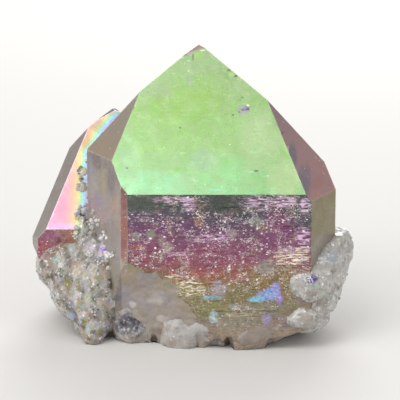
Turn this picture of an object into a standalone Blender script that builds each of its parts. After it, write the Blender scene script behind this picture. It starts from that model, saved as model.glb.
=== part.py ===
"""Angel aura quartz: a stubby coated crystal with a smaller one grown on its left, on a foot of druse and broken quartz.

Metres, +Z up. The specimen stands on its broken-off foot at Z = 0, and the
widest side face of the main crystal looks along -Y. Sizes below are in
millimetres and are turned to metres where a shape is made.
"""

import math
import random

import bmesh
import bpy
from mathutils import Matrix, Vector, noise

MM = 0.001

# Quartz keeps its angles: six sides at sixty degrees, and point faces that lean back from level by this much.
POINT_LEAN = math.radians(51.8)
FRONT, FRONT_RIGHT, BACK_RIGHT, BACK, BACK_LEFT, FRONT_LEFT = 0, 60, 120, 180, 240, 300

# How far each side face of the main crystal stands from its axis, and how much higher than the apex a lesser
# point face would meet the axis. The three leading point faces meet the axis at the apex itself.
MAIN_AXIS = Vector((0.8, 0.0, 0.0))
MAIN_APEX = 42.65
MAIN_SIDES = {FRONT: 15.1, FRONT_RIGHT: 21.6, BACK_RIGHT: 13.1, BACK: 14.3, BACK_LEFT: 11.7, FRONT_LEFT: 16.8}
MAIN_RISES = {FRONT_RIGHT: 7.3, BACK: 6.4, FRONT_LEFT: 6.3}

# The side crystal grew parallel to the main one, behind its left edge.
SIDE_AXIS = Vector((-12.1, 7.3, 0.0))
SIDE_APEX = 31.5
SIDE_SIDES = {FRONT: 12.55, FRONT_RIGHT: 9.0, BACK_RIGHT: 9.5, BACK: 7.6, BACK_LEFT: 4.7, FRONT_LEFT: 15.9}
SIDE_RISES = {FRONT_RIGHT: 3.2, BACK: 3.0, FRONT_LEFT: 2.8}

# A narrow extra side face takes off the main crystal's front left edge.
MAIN_EDGE_FACE = (((-9.45, -15.1, 0.0), (-0.707, -0.707, 0.0)),)

# Knocks on the points: where each flat chip passes, and the way it faces.
MAIN_CHIPS = (
    ((0.8, 0.0, 42.35), (0.10, -0.10, 0.99)),
    ((0.8, 0.0, 42.0), (-0.20, -0.35, 0.92)),
)
SIDE_CHIPS = (
    ((-12.1, 7.3, 31.0), (0.15, -0.10, 0.98)),
    ((-13.6, 6.4, 30.2), (-0.34, -0.25, 0.91)),
)
# The main crystal's root is broken away all round, so that it runs in towards the foot.
MAIN_ROOT_BREAKS = (
    ((12.9, -15.1, 1.9), (0.30, -0.34, -0.89)),
    ((19.4, -9.6, 3.4), (0.74, -0.20, -0.64)),
    ((15.2, 1.4, 3.0), (0.66, 0.38, -0.65)),
    ((9.4, 11.4, 2.4), (0.46, 0.62, -0.63)),
    ((0.5, 14.3, 3.2), (-0.05, 0.70, -0.71)),
)
# The side crystal's root is broken off along a slope that runs in under it.
SIDE_ROOT_BREAK = (((-23.7, 0.0, 11.8), (-0.90, -0.06, -0.43)),)

# A flake is gone from the main crystal's lower left corner. These are the two planes of the scar, facing inwards.
SCAR = (
    ((-10.7, -15.1, 14.2), (1.30, 8.10, 3.65)),
    ((-2.6, -15.1, 11.3), (2.19, 7.30, 1.47)),
)
SCAR_BLOCK = ((-8.0, -19.0, 5.0), (26.0, 22.0, 26.0))

# Lumps of quartz that the crystals are rooted in: centre, half sizes, how rough, and fineness.
LUMPS = {
    "left_shoulder": ((-18.9, -3.0, 10.2), (4.5, 4.4, 4.2), 0.16, 2),
    "left_belly": ((-16.3, -5.2, 6.6), (4.9, 4.8, 5.2), 0.18, 2),
    "left_inner": ((-12.9, -8.2, 8.0), (3.2, 4.4, 5.2), 0.18, 2),
    "left_foot": ((-14.9, -7.6, 3.4), (3.5, 4.4, 3.8), 0.18, 2),
    "left_toe": ((-14.7, -10.8, 1.3), (1.7, 2.4, 2.2), 0.14, 2),
    "left_back": ((-18.0, 3.6, 6.4), (3.8, 5.2, 5.4), 0.20, 2),
    "specked_lobe": ((-8.7, -8.4, 1.9), (3.5, 3.4, 3.1), 0.20, 3),
    "front_lobe": ((-1.7, -11.4, 1.5), (3.2, 3.2, 3.2), 0.20, 3),
    "front_right_lobe": ((8.2, -12.7, 1.5), (3.1, 2.7, 2.6), 0.18, 2),
    "crust_front_upper": ((16.7, -13.0, 9.8), (3.7, 2.9, 2.9), 0.24, 3),
    "crust_front_lower": ((16.3, -12.5, 4.6), (3.4, 3.4, 2.4), 0.24, 3),
    "crust_link": ((18.9, -11.2, 12.0), (2.3, 2.8, 2.8), 0.22, 2),
    "crust_fold": ((18.6, -11.4, 7.0), (2.6, 3.0, 2.8), 0.22, 2),
    "crust_shoulder": ((20.9, -6.8, 13.2), (2.7, 3.6, 3.0), 0.20, 2),
    "crust_middle": ((19.1, -8.2, 9.0), (3.0, 4.6, 4.4), 0.20, 3),
    "crust_low": ((17.0, -8.4, 4.8), (2.6, 4.4, 3.6), 0.20, 2),
    "crust_behind": ((17.8, -1.2, 8.0), (3.4, 4.4, 5.6), 0.22, 2),
    "right_foot": ((14.2, 4.0, 3.6), (4.4, 5.2, 4.4), 0.20, 2),
    "back_right_foot": ((8.4, 10.6, 3.4), (4.6, 4.2, 4.2), 0.20, 2),
    "back_foot": ((0.2, 12.6, 3.0), (5.0, 3.2, 4.2), 0.20, 2),
    "back_left_foot": ((-9.6, 11.8, 4.0), (5.4, 3.8, 4.8), 0.20, 2),
    "far_left_foot": ((-14.6, 8.4, 3.6), (4.2, 4.8, 4.4), 0.20, 2),
}

# Bites out of the foot's rim, where it broke from the rock: centre and half sizes.
BITES = {
    "bite_left": ((-12.4, -13.6, -0.2), (1.3, 5.0, 2.0)),
    "bite_front_left": ((-5.8, -14.4, 0.3), (0.9, 6.4, 2.5)),
    "bite_front": ((3.2, -16.4, -0.5), (2.4, 4.6, 2.5)),
    "bite_front_notch": ((5.1, -16.4, 0.3), (1.0, 5.0, 2.4)),
    "bite_front_right": ((12.2, -16.8, -0.4), (2.2, 4.6, 2.3)),
    "bite_right": ((19.6, -6.6, -0.8), (2.6, 3.0, 2.4)),
    "bite_back_right": ((13.0, 10.8, -0.4), (2.4, 3.0, 2.2)),
    "bite_back": ((4.4, 16.0, -0.4), (1.6, 3.4, 2.2)),
    "bite_back_left": ((-5.2, 14.8, -0.4), (1.5, 3.2, 2.2)),
    "bite_far_left": ((-18.6, 9.6, -0.6), (2.2, 2.6, 2.4)),
}

# Druse: which lump it coats, how many crystals, their widths across and how far they stand out.
DRUSE = {
    "left_shoulder": (50, (1.3, 2.4), (0.2, 0.7)),
    "left_belly": (50, (1.2, 2.4), (0.2, 0.7)),
    "left_inner": (44, (1.1, 2.1), (0.3, 0.9)),
    "left_foot": (40, (1.2, 2.3), (0.2, 0.7)),
    "left_toe": (22, (0.9, 1.6), (0.1, 0.5)),
    "left_back": (34, (1.5, 2.8), (0.6, 1.5)),
    "crust_shoulder": (30, (1.0, 1.9), (0.1, 0.5)),
    "crust_middle": (40, (1.0, 1.9), (0.0, 0.4)),
    "crust_low": (30, (1.0, 1.8), (0.0, 0.4)),
    "crust_link": (20, (0.9, 1.6), (0.0, 0.3)),
    "crust_front_upper": (34, (0.8, 1.5), (0.0, 0.3)),
    "crust_front_lower": (34, (0.8, 1.5), (0.0, 0.3)),
    "crust_behind": (30, (1.4, 2.4), (0.4, 1.1)),
    "right_foot": (26, (1.5, 2.8), (0.5, 1.4)),
    "back_right_foot": (24, (1.6, 2.9), (0.6, 1.5)),
    "back_foot": (22, (1.5, 2.8), (0.6, 1.5)),
    "back_left_foot": (26, (1.6, 2.9), (0.6, 1.6)),
    "far_left_foot": (26, (1.6, 2.9), (0.6, 1.5)),
}
DRUSE_LEAN = math.radians(22)
ROOTED = 1.3  # how deep a druse crystal's root goes under the lump's surface
LOWEST_ROOT = 0.9

# A seam of small crystals climbs the corner between the two big ones: (x, y, z), width, length.
SEAM = (
    ((-15.4, -4.7, 26.2), 1.0, 0.6),
    ((-15.6, -4.8, 24.2), 1.3, 0.9),
    ((-15.6, -4.9, 22.0), 1.9, 1.6),
    ((-15.5, -5.0, 20.0), 1.4, 0.8),
    ((-15.5, -5.2, 18.2), 2.2, 1.4),
    ((-15.6, -5.2, 16.4), 2.0, 1.6),
    ((-15.6, -5.4, 14.8), 2.2, 1.8),
)
SEAM_WAY = (-0.9, -0.2, 0.2)
SEAM_ROOTED = 0.9

# Stouter small crystals that lean out of the foot at the back and sides: root, way, width and length.
OUTLIERS = (
    ((5.4, 11.6, 3.2), (0.22, 0.76, 0.62), 4.3, 6.4),
    ((11.2, 7.4, 3.8), (0.70, 0.52, 0.50), 3.7, 6.0),
    ((-2.2, 12.0, 2.8), (-0.18, 0.84, 0.52), 3.3, 5.2),
    ((-11.6, 12.0, 4.4), (-0.20, 0.80, 0.56), 3.6, 5.2),
    ((-16.6, 7.6, 4.6), (-0.72, 0.50, 0.46), 3.2, 4.6),
    ((15.4, 1.6, 5.2), (0.86, 0.30, 0.40), 3.2, 5.2),
)

# Growth ledges that stand out from the main crystal's front face: x from, x to, z, height and depth.
LEDGES = (
    (3.4, 16.6, 21.7, 0.50, 0.16),
    (-4.4, 1.4, 21.9, 0.40, 0.14),
    (12.6, 16.8, 19.2, 0.90, 0.18),
    (-2.4, 9.2, 17.3, 0.34, 0.16),
    (13.6, 16.9, 16.4, 1.30, 0.22),
    (-8.6, 3.0, 15.2, 0.30, 0.14),
    (10.2, 16.8, 13.0, 0.40, 0.18),
    (-1.0, 5.6, 10.2, 0.36, 0.16),
    (3.0, 12.4, 6.2, 0.40, 0.18),
)

CUT_BLOCK = ((0.0, 0.0, -10.0), (80.0, 80.0, 20.0))

# Moves the finished specimen so that the middle of its footprint is at X = Y = 0.
CENTRING = (0.097, -0.382, 0.0)


def metres(point):
    return Vector(point) * MM


def collection(name):
    made = bpy.data.collections.new(name)
    bpy.context.scene.collection.children.link(made)
    return made


def object_from(bm, name, into):
    """The finished bmesh as a flat-shaded object in a collection."""
    bmesh.ops.recalc_face_normals(bm, faces=bm.faces)
    mesh = bpy.data.meshes.new(name)
    bm.to_mesh(mesh)
    bm.free()
    made = bpy.data.objects.new(name, mesh)
    into.objects.link(made)
    return made


def growth_faces(axis, apex, sides, rises):
    """Each growth face of a crystal as a point on it and the way it faces, in millimetres."""
    faces = []
    for turn, distance in sides.items():
        outward = Vector((math.sin(math.radians(turn)), -math.cos(math.radians(turn)), 0.0))
        leaning = outward * math.sin(POINT_LEAN) + Vector((0.0, 0.0, math.cos(POINT_LEAN)))
        top = axis + Vector((0.0, 0.0, apex + rises.get(turn, 0.0)))
        faces.append((axis + outward * distance, outward))
        faces.append((top, leaning))
    return faces


def inside(point, faces, margin=0.0):
    """True if a point lies within all of a crystal's faces by at least the margin."""
    return all((point - Vector(at)).dot(Vector(facing).normalized()) < -margin for at, facing in faces)


def cleave(bm, at, facing):
    """Cuts off what lies beyond a plane and closes the cut."""
    everything = bm.verts[:] + bm.edges[:] + bm.faces[:]
    bmesh.ops.bisect_plane(
        bm, geom=everything, dist=1e-7, plane_co=metres(at), plane_no=Vector(facing).normalized(), clear_outer=True
    )
    bmesh.ops.holes_fill(bm, edges=[e for e in bm.edges if e.is_boundary], sides=0)


def block(bm, centre, size):
    bmesh.ops.create_cube(bm, size=1.0, matrix=Matrix.LocRotScale(metres(centre), None, metres(size)))


def crystal(name, faces, into):
    """A rough block cleaved along each of the crystal's faces."""
    bm = bmesh.new()
    block(bm, (0.0, 0.0, 30.0), (120.0, 120.0, 64.0))
    for at, facing in faces:
        cleave(bm, at, facing)
    return object_from(bm, name, into)


def lump(name, centre, half, roughness, fineness, into):
    """A knobbly ball of broken quartz."""
    bm = bmesh.new()
    bmesh.ops.create_icosphere(bm, subdivisions=fineness, radius=1.0)
    drift = Vector((centre[0], centre[1], centre[2] + len(name)))
    for vert in bm.verts:
        swell = 1.0 + roughness * noise.noise(vert.co * 1.9 + drift) + 0.5 * roughness * noise.noise(vert.co * 5.0 + drift)
        vert.co = metres(Vector(centre) + Vector(a * b for a, b in zip(vert.co, half)) * swell)
    return object_from(bm, name, into)


def small_crystal(name, root, way, width, length, spin, into):
    """A six-sided crystal with a blunt point, from its root along its own way."""
    point_height = math.tan(POINT_LEAN) * math.cos(math.radians(30)) * width / 2
    shaft = max(length - point_height, 0.3 * width)
    bm = bmesh.new()
    made = bmesh.ops.create_cone(
        bm, cap_ends=True, segments=6, radius1=width / 2 * 0.92 * MM, radius2=width / 2 * MM, depth=shaft * MM
    )
    bmesh.ops.translate(bm, verts=made["verts"], vec=(0.0, 0.0, shaft / 2 * MM))
    cap = max(bm.faces, key=lambda face: face.calc_center_median().z)
    tip = bmesh.ops.poke(bm, faces=[cap])["verts"][0]
    tip.co.z += point_height * MM
    turn = Vector(way).to_track_quat("Z", "Y").to_matrix().to_4x4()
    bm.transform(Matrix.Translation(metres(root)) @ turn @ Matrix.Rotation(spin, 4, "Z"))
    return object_from(bm, name, into)


def spread_over(centre, half, count):
    """Evenly spread points on an ellipsoid, with the way out at each, in millimetres."""
    golden = math.pi * (3.0 - math.sqrt(5.0))
    for i in range(count):
        up = 1.0 - 2.0 * (i + 0.5) / count
        ring = math.sqrt(1.0 - up * up)
        ball = Vector((ring * math.cos(golden * i), ring * math.sin(golden * i), up))
        point = Vector(centre) + Vector(a * b for a, b in zip(ball, half))
        yield point, Vector(a / b for a, b in zip(ball, half)).normalized()


def buried(point, own, bodies):
    """True if a point lies inside a big crystal or inside a lump other than its own."""
    if any(inside(point, faces, margin=0.2) for faces in bodies):
        return True
    for name, (centre, half, _, _) in LUMPS.items():
        reach = Vector((point[i] - centre[i]) / half[i] for i in range(3)).length
        if name != own and reach < 0.86:
            return True
    return False


def ledge(name, x_from, x_to, z, height, depth, into):
    """A low plate on the front face, with its upper and lower edges sloped off."""
    front = MAIN_SIDES[FRONT]
    bm = bmesh.new()
    block(bm, ((x_from + x_to) / 2, -front, z), (x_to - x_from, 2 * depth, height))
    for vert in bm.verts:
        if vert.co.y < -front * MM:
            vert.co.z = z * MM + 0.35 * (vert.co.z - z * MM)
    return object_from(bm, name, into)


def druse_on(lump_name, bodies, into):
    """Small crystals that bristle from the open part of one lump."""
    count, widths, lengths = DRUSE[lump_name]
    centre, half, _, _ = LUMPS[lump_name]
    chance = random.Random(lump_name)
    for i, (point, out) in enumerate(spread_over(centre, half, count)):
        width = chance.uniform(*widths)
        length = chance.uniform(*lengths)
        tilt = Vector(chance.uniform(-1.0, 1.0) for _ in range(3)) * math.tan(DRUSE_LEAN)
        spin = chance.uniform(0.0, math.pi / 3)
        if point.z < LOWEST_ROOT or out.z < -0.75 or buried(point, lump_name, bodies):
            continue
        way = (out + tilt).normalized()
        small_crystal(f"druse_{lump_name}_{i:02d}", point - way * ROOTED, way, width, length + ROOTED, spin, into)


def seam(into):
    chance = random.Random("seam")
    for i, (point, width, length) in enumerate(SEAM):
        way = Vector(SEAM_WAY) + Vector(chance.uniform(-0.3, 0.3) for _ in range(3))
        root = Vector(point) - way.normalized() * SEAM_ROOTED
        small_crystal(f"seam_{i}", root, way, width, length + SEAM_ROOTED, chance.uniform(0.0, 1.0), into)


def boolean(target, name, operation, operands):
    step = target.modifiers.new(name, "BOOLEAN")
    step.operation = operation
    step.solver = "EXACT"
    step.operand_type = "COLLECTION"
    step.collection = operands


def coated_quartz():
    material = bpy.data.materials.new("coated_quartz")
    material.use_nodes = True
    shader = material.node_tree.nodes["Principled BSDF"]
    shader.inputs["Base Color"].default_value = (0.52, 0.50, 0.47, 1.0)
    shader.inputs["Roughness"].default_value = 0.22
    shader.inputs["Metallic"].default_value = 0.0
    shader.inputs["IOR"].default_value = 1.544
    return material


def build():
    for old in list(bpy.data.objects):
        bpy.data.objects.remove(old)

    specimen = collection("Angel aura quartz")
    flaked = collection("Flaked off the main crystal")
    grown = collection("Grown on")
    broken = collection("Broken off the foot")

    main_faces = growth_faces(MAIN_AXIS, MAIN_APEX, MAIN_SIDES, MAIN_RISES)
    side_faces = growth_faces(SIDE_AXIS, SIDE_APEX, SIDE_SIDES, SIDE_RISES) + list(SIDE_ROOT_BREAK)
    bodies = (main_faces, side_faces)

    main_shape = main_faces + list(MAIN_EDGE_FACE + MAIN_CHIPS + MAIN_ROOT_BREAKS)
    cluster = crystal("quartz_cluster", main_shape, specimen)
    cluster.data.materials.append(coated_quartz())

    scar = bmesh.new()
    block(scar, *SCAR_BLOCK)
    for at, facing in SCAR:
        cleave(scar, at, facing)
    object_from(scar, "lost_flake", flaked)

    crystal("side_crystal", side_faces + list(SIDE_CHIPS), grown)
    for name, (centre, half, roughness, fineness) in LUMPS.items():
        lump(name, centre, half, roughness, fineness, grown)
    for name in DRUSE:
        druse_on(name, bodies, grown)
    seam(grown)
    for i, (root, way, width, length) in enumerate(OUTLIERS):
        small_crystal(f"outlier_{i}", root, way, width, length, 0.3 * i, grown)
    for i, measures in enumerate(LEDGES):
        ledge(f"ledge_{i}", *measures, grown)

    for name, (centre, half) in BITES.items():
        lump(name, centre, half, 0.2, 1, broken)
    foot = bmesh.new()
    block(foot, *CUT_BLOCK)
    object_from(foot, "below_the_foot", broken)

    boolean(cluster, "Scar", "DIFFERENCE", flaked)
    boolean(cluster, "Growths", "UNION", grown)
    boolean(cluster, "Foot", "DIFFERENCE", broken)
    for made in bpy.data.objects:
        made.data.transform(Matrix.Translation(metres(CENTRING)))
        if made is not cluster:
            made.hide_render = True
            made.display_type = "WIRE"


build()
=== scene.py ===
"""Angel aura quartz, dressed: the looks of a coated quartz specimen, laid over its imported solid.

Row frame, metres, +Z up. Sizes and places below are in millimetres and are
turned to metres where a mesh is made. The widest side face looks along -Y.
"""

import math
import random

import bmesh
import bpy
import numpy as np
from mathutils import Matrix, Vector, noise
from mathutils.geometry import delaunay_2d_cdt


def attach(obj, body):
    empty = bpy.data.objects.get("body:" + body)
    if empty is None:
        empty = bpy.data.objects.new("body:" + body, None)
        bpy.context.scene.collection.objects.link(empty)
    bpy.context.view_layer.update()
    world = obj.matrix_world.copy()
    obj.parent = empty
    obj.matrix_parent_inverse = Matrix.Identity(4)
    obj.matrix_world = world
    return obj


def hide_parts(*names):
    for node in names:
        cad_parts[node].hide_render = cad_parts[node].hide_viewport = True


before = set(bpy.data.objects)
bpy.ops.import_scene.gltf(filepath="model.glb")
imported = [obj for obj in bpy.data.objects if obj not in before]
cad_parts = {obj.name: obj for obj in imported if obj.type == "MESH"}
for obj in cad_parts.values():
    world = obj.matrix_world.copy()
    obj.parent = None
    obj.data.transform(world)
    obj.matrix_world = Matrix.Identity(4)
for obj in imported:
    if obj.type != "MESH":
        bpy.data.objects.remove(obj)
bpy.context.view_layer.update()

# The main crystal: its form
# A stubby crystal of quartz that grew from hot water in a vein. Quartz keeps its angles, so the
# crystal is cleaved from a block along six sides and six point faces, each at its own distance.
MM = 0.001
POINT_LEAN = math.radians(51.8)
FRONT, FRONT_RIGHT, BACK_RIGHT, BACK, BACK_LEFT, FRONT_LEFT = 0, 60, 120, 180, 240, 300
MAIN_AXIS = Vector((0.897, -0.382, 0.0))
MAIN_APEX = 42.65
# How far each side face stands from the axis, and how far above the apex a lesser point face would meet it.
MAIN_SIDES = {FRONT: 15.1, FRONT_RIGHT: 21.6, BACK_RIGHT: 13.1, BACK: 14.3, BACK_LEFT: 11.7, FRONT_LEFT: 16.8}
MAIN_RISES = {FRONT_RIGHT: 7.3, BACK: 6.4, FRONT_LEFT: 6.3}
FRONT_Y = MAIN_AXIS.y - MAIN_SIDES[FRONT]
# Flat faces of other kinds, each as a point on it and the way it faces: a narrow one on the front left
# edge, chips off the tip, breaks round the root, and the two that bound the flake that is gone.
EDGE_FACE = ((-9.35, FRONT_Y, 0.0), (-0.707, -0.707, 0.0))
MAIN_CHIPS = (
    ((0.9, -0.4, 42.35), (0.10, -0.10, 0.99)),
    ((0.9, -0.4, 42.0), (-0.20, -0.35, 0.92)),
)
ROOT_BREAKS = (
    ((13.0, FRONT_Y, 1.9), (0.30, -0.34, -0.89)),
    ((19.5, -10.0, 3.4), (0.74, -0.20, -0.64)),
    ((15.3, 1.0, 3.0), (0.66, 0.38, -0.65)),
    ((9.5, 11.0, 2.4), (0.46, 0.62, -0.63)),
    ((0.6, 13.9, 3.2), (-0.05, 0.70, -0.71)),
)
SCAR = (
    ((-10.6, FRONT_Y, 14.2), (1.30, 8.10, 3.65)),
    ((-2.5, FRONT_Y, 11.3), (2.19, 7.30, 1.47)),
)
# The block that a crystal is cleaved from: its width, depth and height.
BLOCK = (120, 120, 60)


def growth_faces(axis, apex, sides, rises):
    """Each growth face as its name, a point on it and the way it faces."""
    faces = []
    for turn, distance in sides.items():
        outward = Vector((math.sin(math.radians(turn)), -math.cos(math.radians(turn)), 0.0))
        leaning = outward * math.sin(POINT_LEAN) + Vector((0.0, 0.0, math.cos(POINT_LEAN)))
        faces.append((f"side_{turn}", axis + outward * distance, outward))
        faces.append((f"point_{turn}", axis + Vector((0.0, 0.0, apex + rises.get(turn, 0.0))), leaning))
    return faces


def cleaved(faces):
    """A block with all that lies beyond each face taken off, and the name of each face that is left."""
    bm = bmesh.new()
    block = Matrix.LocRotScale(Vector((0, 0, BLOCK[2] / 2)), None, Vector(BLOCK))
    bmesh.ops.create_cube(bm, size=1.0, matrix=block)
    for _, at, facing in faces:
        everything = bm.verts[:] + bm.edges[:] + bm.faces[:]
        outward = Vector(facing).normalized()
        bmesh.ops.bisect_plane(
            bm, geom=everything, dist=1e-4, plane_co=at, plane_no=outward, clear_outer=True
        )
        bmesh.ops.holes_fill(bm, edges=[e for e in bm.edges if e.is_boundary], sides=0)
    bmesh.ops.recalc_face_normals(bm, faces=bm.faces)
    bm.faces.index_update()
    names = []
    for face in bm.faces:
        name = "foot"
        for known, at, facing in faces:
            if face.normal.dot(Vector(facing).normalized()) > 0.9999:
                name = known
        names.append(name)
    return bm, names


# Bows each straight edge out by a hair while its face is netted, so that no sliver forms along it.
BULGE = 1e-5


def fine_net(solid, names, steps):
    """Lays a fine net of triangles over each flat face, with the points along every edge shared."""
    points, off_edge, home, triangles, skin = [], [], [], [], []

    def point(co, distance, face):
        points.append(tuple(co))
        off_edge.append(distance)
        home.append(face)
        return len(points) - 1

    across_up = {name: steps.get(name, steps["others"]) for name in names}
    corner = {vert: point(vert.co, 0.0, -1) for vert in solid.verts}
    along = {}
    for edge in solid.edges:
        step = min(min(across_up[names[face.index]]) for face in edge.link_faces)
        start, end = edge.verts
        count = max(1, round(edge.calc_length() / step))
        between = [point(start.co.lerp(end.co, i / count), 0.0, -1) for i in range(1, count)]
        along[edge] = [corner[start], *between, corner[end]]
    for face in solid.faces:
        rim, bulges = [], []
        for loop in face.loops:
            run = along[loop.edge]
            rim += run[:-1] if loop.vert == loop.edge.verts[0] else run[:0:-1]
            outward = (loop.link_loop_next.vert.co - loop.vert.co).cross(face.normal).normalized()
            count = len(run) - 1
            bulges += [outward * (BULGE * i * (count - i)) for i in range(count)]
        flat = face.normal.cross(Vector((0.0, 0.0, 1.0)))
        across = -flat.normalized() if flat.length > 0.01 else Vector((1.0, 0.0, 0.0))
        up = face.normal.cross(across)
        origin = face.calc_center_median()
        outline = np.array([((v.co - origin).dot(across), (v.co - origin).dot(up)) for v in face.verts])
        step_across, step_up = across_up[names[face.index]]
        columns = np.arange(outline[:, 0].min(), outline[:, 0].max(), step_across)
        rows = np.arange(outline[:, 1].min(), outline[:, 1].max(), step_up)
        grid = np.stack(np.meshgrid(columns, rows), axis=-1)
        grid[1::2, :, 0] += step_across / 2
        grid = grid.reshape(-1, 2)
        following = np.roll(outline, -1, axis=0)
        inward = (following - outline)[:, ::-1] * (-1.0, 1.0)
        inward /= np.linalg.norm(inward, axis=1)[:, None]
        if (inward[0] * (outline.mean(axis=0) - outline[0])).sum() < 0:
            inward = -inward
        depth = np.einsum("pek,ek->pe", grid[:, None, :] - outline[None, :, :], inward).min(axis=1)
        kept = depth > 0.45 * min(step_across, step_up)
        inner = [
            point(origin + across * float(a) + up * float(b), float(d), face.index)
            for (a, b), d in zip(grid[kept], depth[kept])
        ]
        members = rim + inner
        placed = [Vector(points[i]) + bulge - origin for i, bulge in zip(rim, bulges)]
        placed += [Vector(points[i]) - origin for i in inner]
        local = [Vector((co.dot(across), co.dot(up))) for co in placed]
        rim_edges = [(i, (i + 1) % len(rim)) for i in range(len(rim))]
        _, _, made, came_from, _, _ = delaunay_2d_cdt(local, rim_edges, [], 1, 1e-7, True)
        counter = across.cross(up).dot(face.normal) > 0
        for tri in made:
            ids = [members[came_from[i][0]] for i in tri]
            triangles.append(ids if counter else ids[::-1])
            skin.append(names[face.index])
    return np.array(points), np.array(off_edge), np.array(home), triangles, skin


def wander(point, size, seed=0.0):
    """Smooth noise from -1 to 1 with features of about that size."""
    return noise.noise(Vector((point[0] / size + seed, point[1] / size, point[2] / size - seed)))


def smooth(value, low, high):
    """Rises smoothly from 0 at the low value to 1 at the high one."""
    t = np.clip((value - low) / (high - low), 0.0, 1.0)
    return t * t * (3.0 - 2.0 * t)


main_faces = growth_faces(MAIN_AXIS, MAIN_APEX, MAIN_SIDES, MAIN_RISES)
main_shape = list(main_faces)
main_shape.append(("edge_face", *EDGE_FACE))
main_shape += [("chip", at, facing) for at, facing in MAIN_CHIPS]
main_shape += [("root_break", at, facing) for at, facing in ROOT_BREAKS]
# How far apart the net's points lie across and up each face.
MAIN_STEPS = {
    "side_0": (0.14, 0.13),
    "point_0": (0.34, 0.34),
    "edge_face": (0.16, 0.16),
    "chip": (0.12, 0.12),
    "root_break": (0.35, 0.35),
    "foot": (1.2, 1.2),
    "side_60": (0.5, 0.24),
    "side_300": (0.5, 0.24),
    "others": (0.6, 0.45),
}
solid, names = cleaved(main_shape)
net, off_edge, home, triangles, skin = fine_net(solid, names, MAIN_STEPS)
normals = np.array([face.normal[:] for face in solid.faces])
face_names = np.array(names)
solid.free()

# The main crystal: its relief
# The wide front face is where growth stopped and started: steps, level ridges and pits as deep as a
# hair. A flake is gone from its lower left corner, the tip is knocked, and the root is broken off.
# Growth ledges: x from, x to, height on the face, thickness and depth.
LEDGES = (
    (3.5, 16.7, 21.7, 0.50, 0.16),
    (-4.3, 1.5, 21.9, 0.40, 0.14),
    (12.7, 16.9, 19.2, 0.90, 0.18),
    (-2.3, 9.3, 17.3, 0.34, 0.16),
    (13.7, 17.0, 16.4, 1.30, 0.22),
    (-8.5, 3.1, 15.2, 0.30, 0.14),
    (10.3, 16.9, 13.0, 0.40, 0.18),
    (-0.9, 5.7, 10.2, 0.36, 0.16),
    (3.1, 12.5, 6.2, 0.40, 0.18),
)
RIDGE_SPACING = 0.46
# Pits and mounds of the front face: how many, how far across they lie, their top, how far down from it
# they reach, and their half widths.
PITS = 460
PITTED_ACROSS = (-9.0, 16.8)
FRONT_TOP = 23.0
PITTED_DOWN = 16.5
PIT_WIDTHS = (0.16, 0.34)
# Nicks knocked into the edges: place, reach and depth.
NICKS = (
    ((5.2, -3.6, 38.4), 0.26, 0.10),
    ((6.3, -4.0, 37.3), 0.24, 0.10),
    ((4.4, -3.3, 39.0), 0.20, 0.06),
    ((-8.7, -7.0, 34.6), 0.30, 0.08),
    ((18.9, -8.2, 25.4), 0.34, 0.10),
    ((16.4, -15.3, 22.9), 0.40, 0.14),
    ((-9.6, -15.2, 23.6), 0.40, 0.12),
    ((-11.4, -12.6, 27.0), 0.30, 0.08),
    ((12.2, -8.6, 32.0), 0.26, 0.08),
    ((14.0, -11.6, 27.6), 0.26, 0.08),
)


def front_relief(points, fade):
    """How far each point of the front face stands out: ledges, level ridges, mounds and pits."""
    chance = random.Random("pits")
    x, z = points[:, 0], points[:, 2]
    out = np.zeros(len(points))
    broad = np.array([wander(p, 3.2, 1.0) for p in points])
    patchy = np.array([wander((p[0], 0, p[2] * 2.2), 2.1, 5.0) for p in points])
    fine = np.array([wander((p[0] * 0.45, 0, p[2] * 1.6), 0.42, 9.0) for p in points])
    for x_from, x_to, height, thick, depth in LEDGES:
        ragged = 0.14 * fine
        below, above = height - 0.5 * thick, height + 0.5 * thick
        level = smooth(above - z + ragged, 0.0, 0.10) * smooth(z - below + ragged, 0.0, 0.10)
        ends = smooth(x - x_from + 4 * ragged, 0.0, 0.5) * smooth(x_to - x + 4 * ragged, 0.0, 0.4)
        out += depth * level * ends
    ridged = 0.5 - 0.5 * np.cos(2 * math.pi * (z + 0.12 * patchy) / RIDGE_SPACING)
    corner = smooth(x, 5.0, 9.0) * smooth(z, 19.6, 21.4) + smooth(x, 12.6, 14.5) * smooth(z, 10.0, 13.0)
    ridges = np.clip(0.25 + 0.9 * patchy + 0.8 * corner, 0.0, 1.0) * smooth(z, 4.5, 8.0)
    out += 0.075 * ridges * ridged + 0.035 * fine * (0.35 + ridges) + 0.05 * broad
    rough_band = smooth(z, 7.5, 11.0) * smooth(FRONT_TOP - z, 0.0, 2.5)
    for _ in range(PITS):
        at_x, at_z = chance.uniform(*PITTED_ACROSS), FRONT_TOP - PITTED_DOWN * chance.random() ** 1.25
        wide = chance.uniform(*PIT_WIDTHS) * (1.9 if chance.random() < 0.12 else 1.0)
        tall = wide * chance.uniform(0.7, 1.0)
        depth = chance.choice((-1.0, -1.0, 0.8)) * chance.uniform(0.05, 0.13)
        near = 1.0 - ((x - at_x) / wide) ** 2 - ((z - at_z) / tall) ** 2
        out += np.where(near > 0, depth * np.sqrt(np.clip(near, 0, 1)), 0.0) * rough_band
    return out * fade


def broken_relief(point, amount):
    """Shell-shaped fracture: broad hollows with a finer crackle on them."""
    hollow = abs(wander(point, 4.6, 3.0)) - 0.35
    return amount * (1.2 * hollow + 0.35 * wander(point, 1.3, 7.0) + 0.16 * wander(point, 0.5, 2.0))


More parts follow.
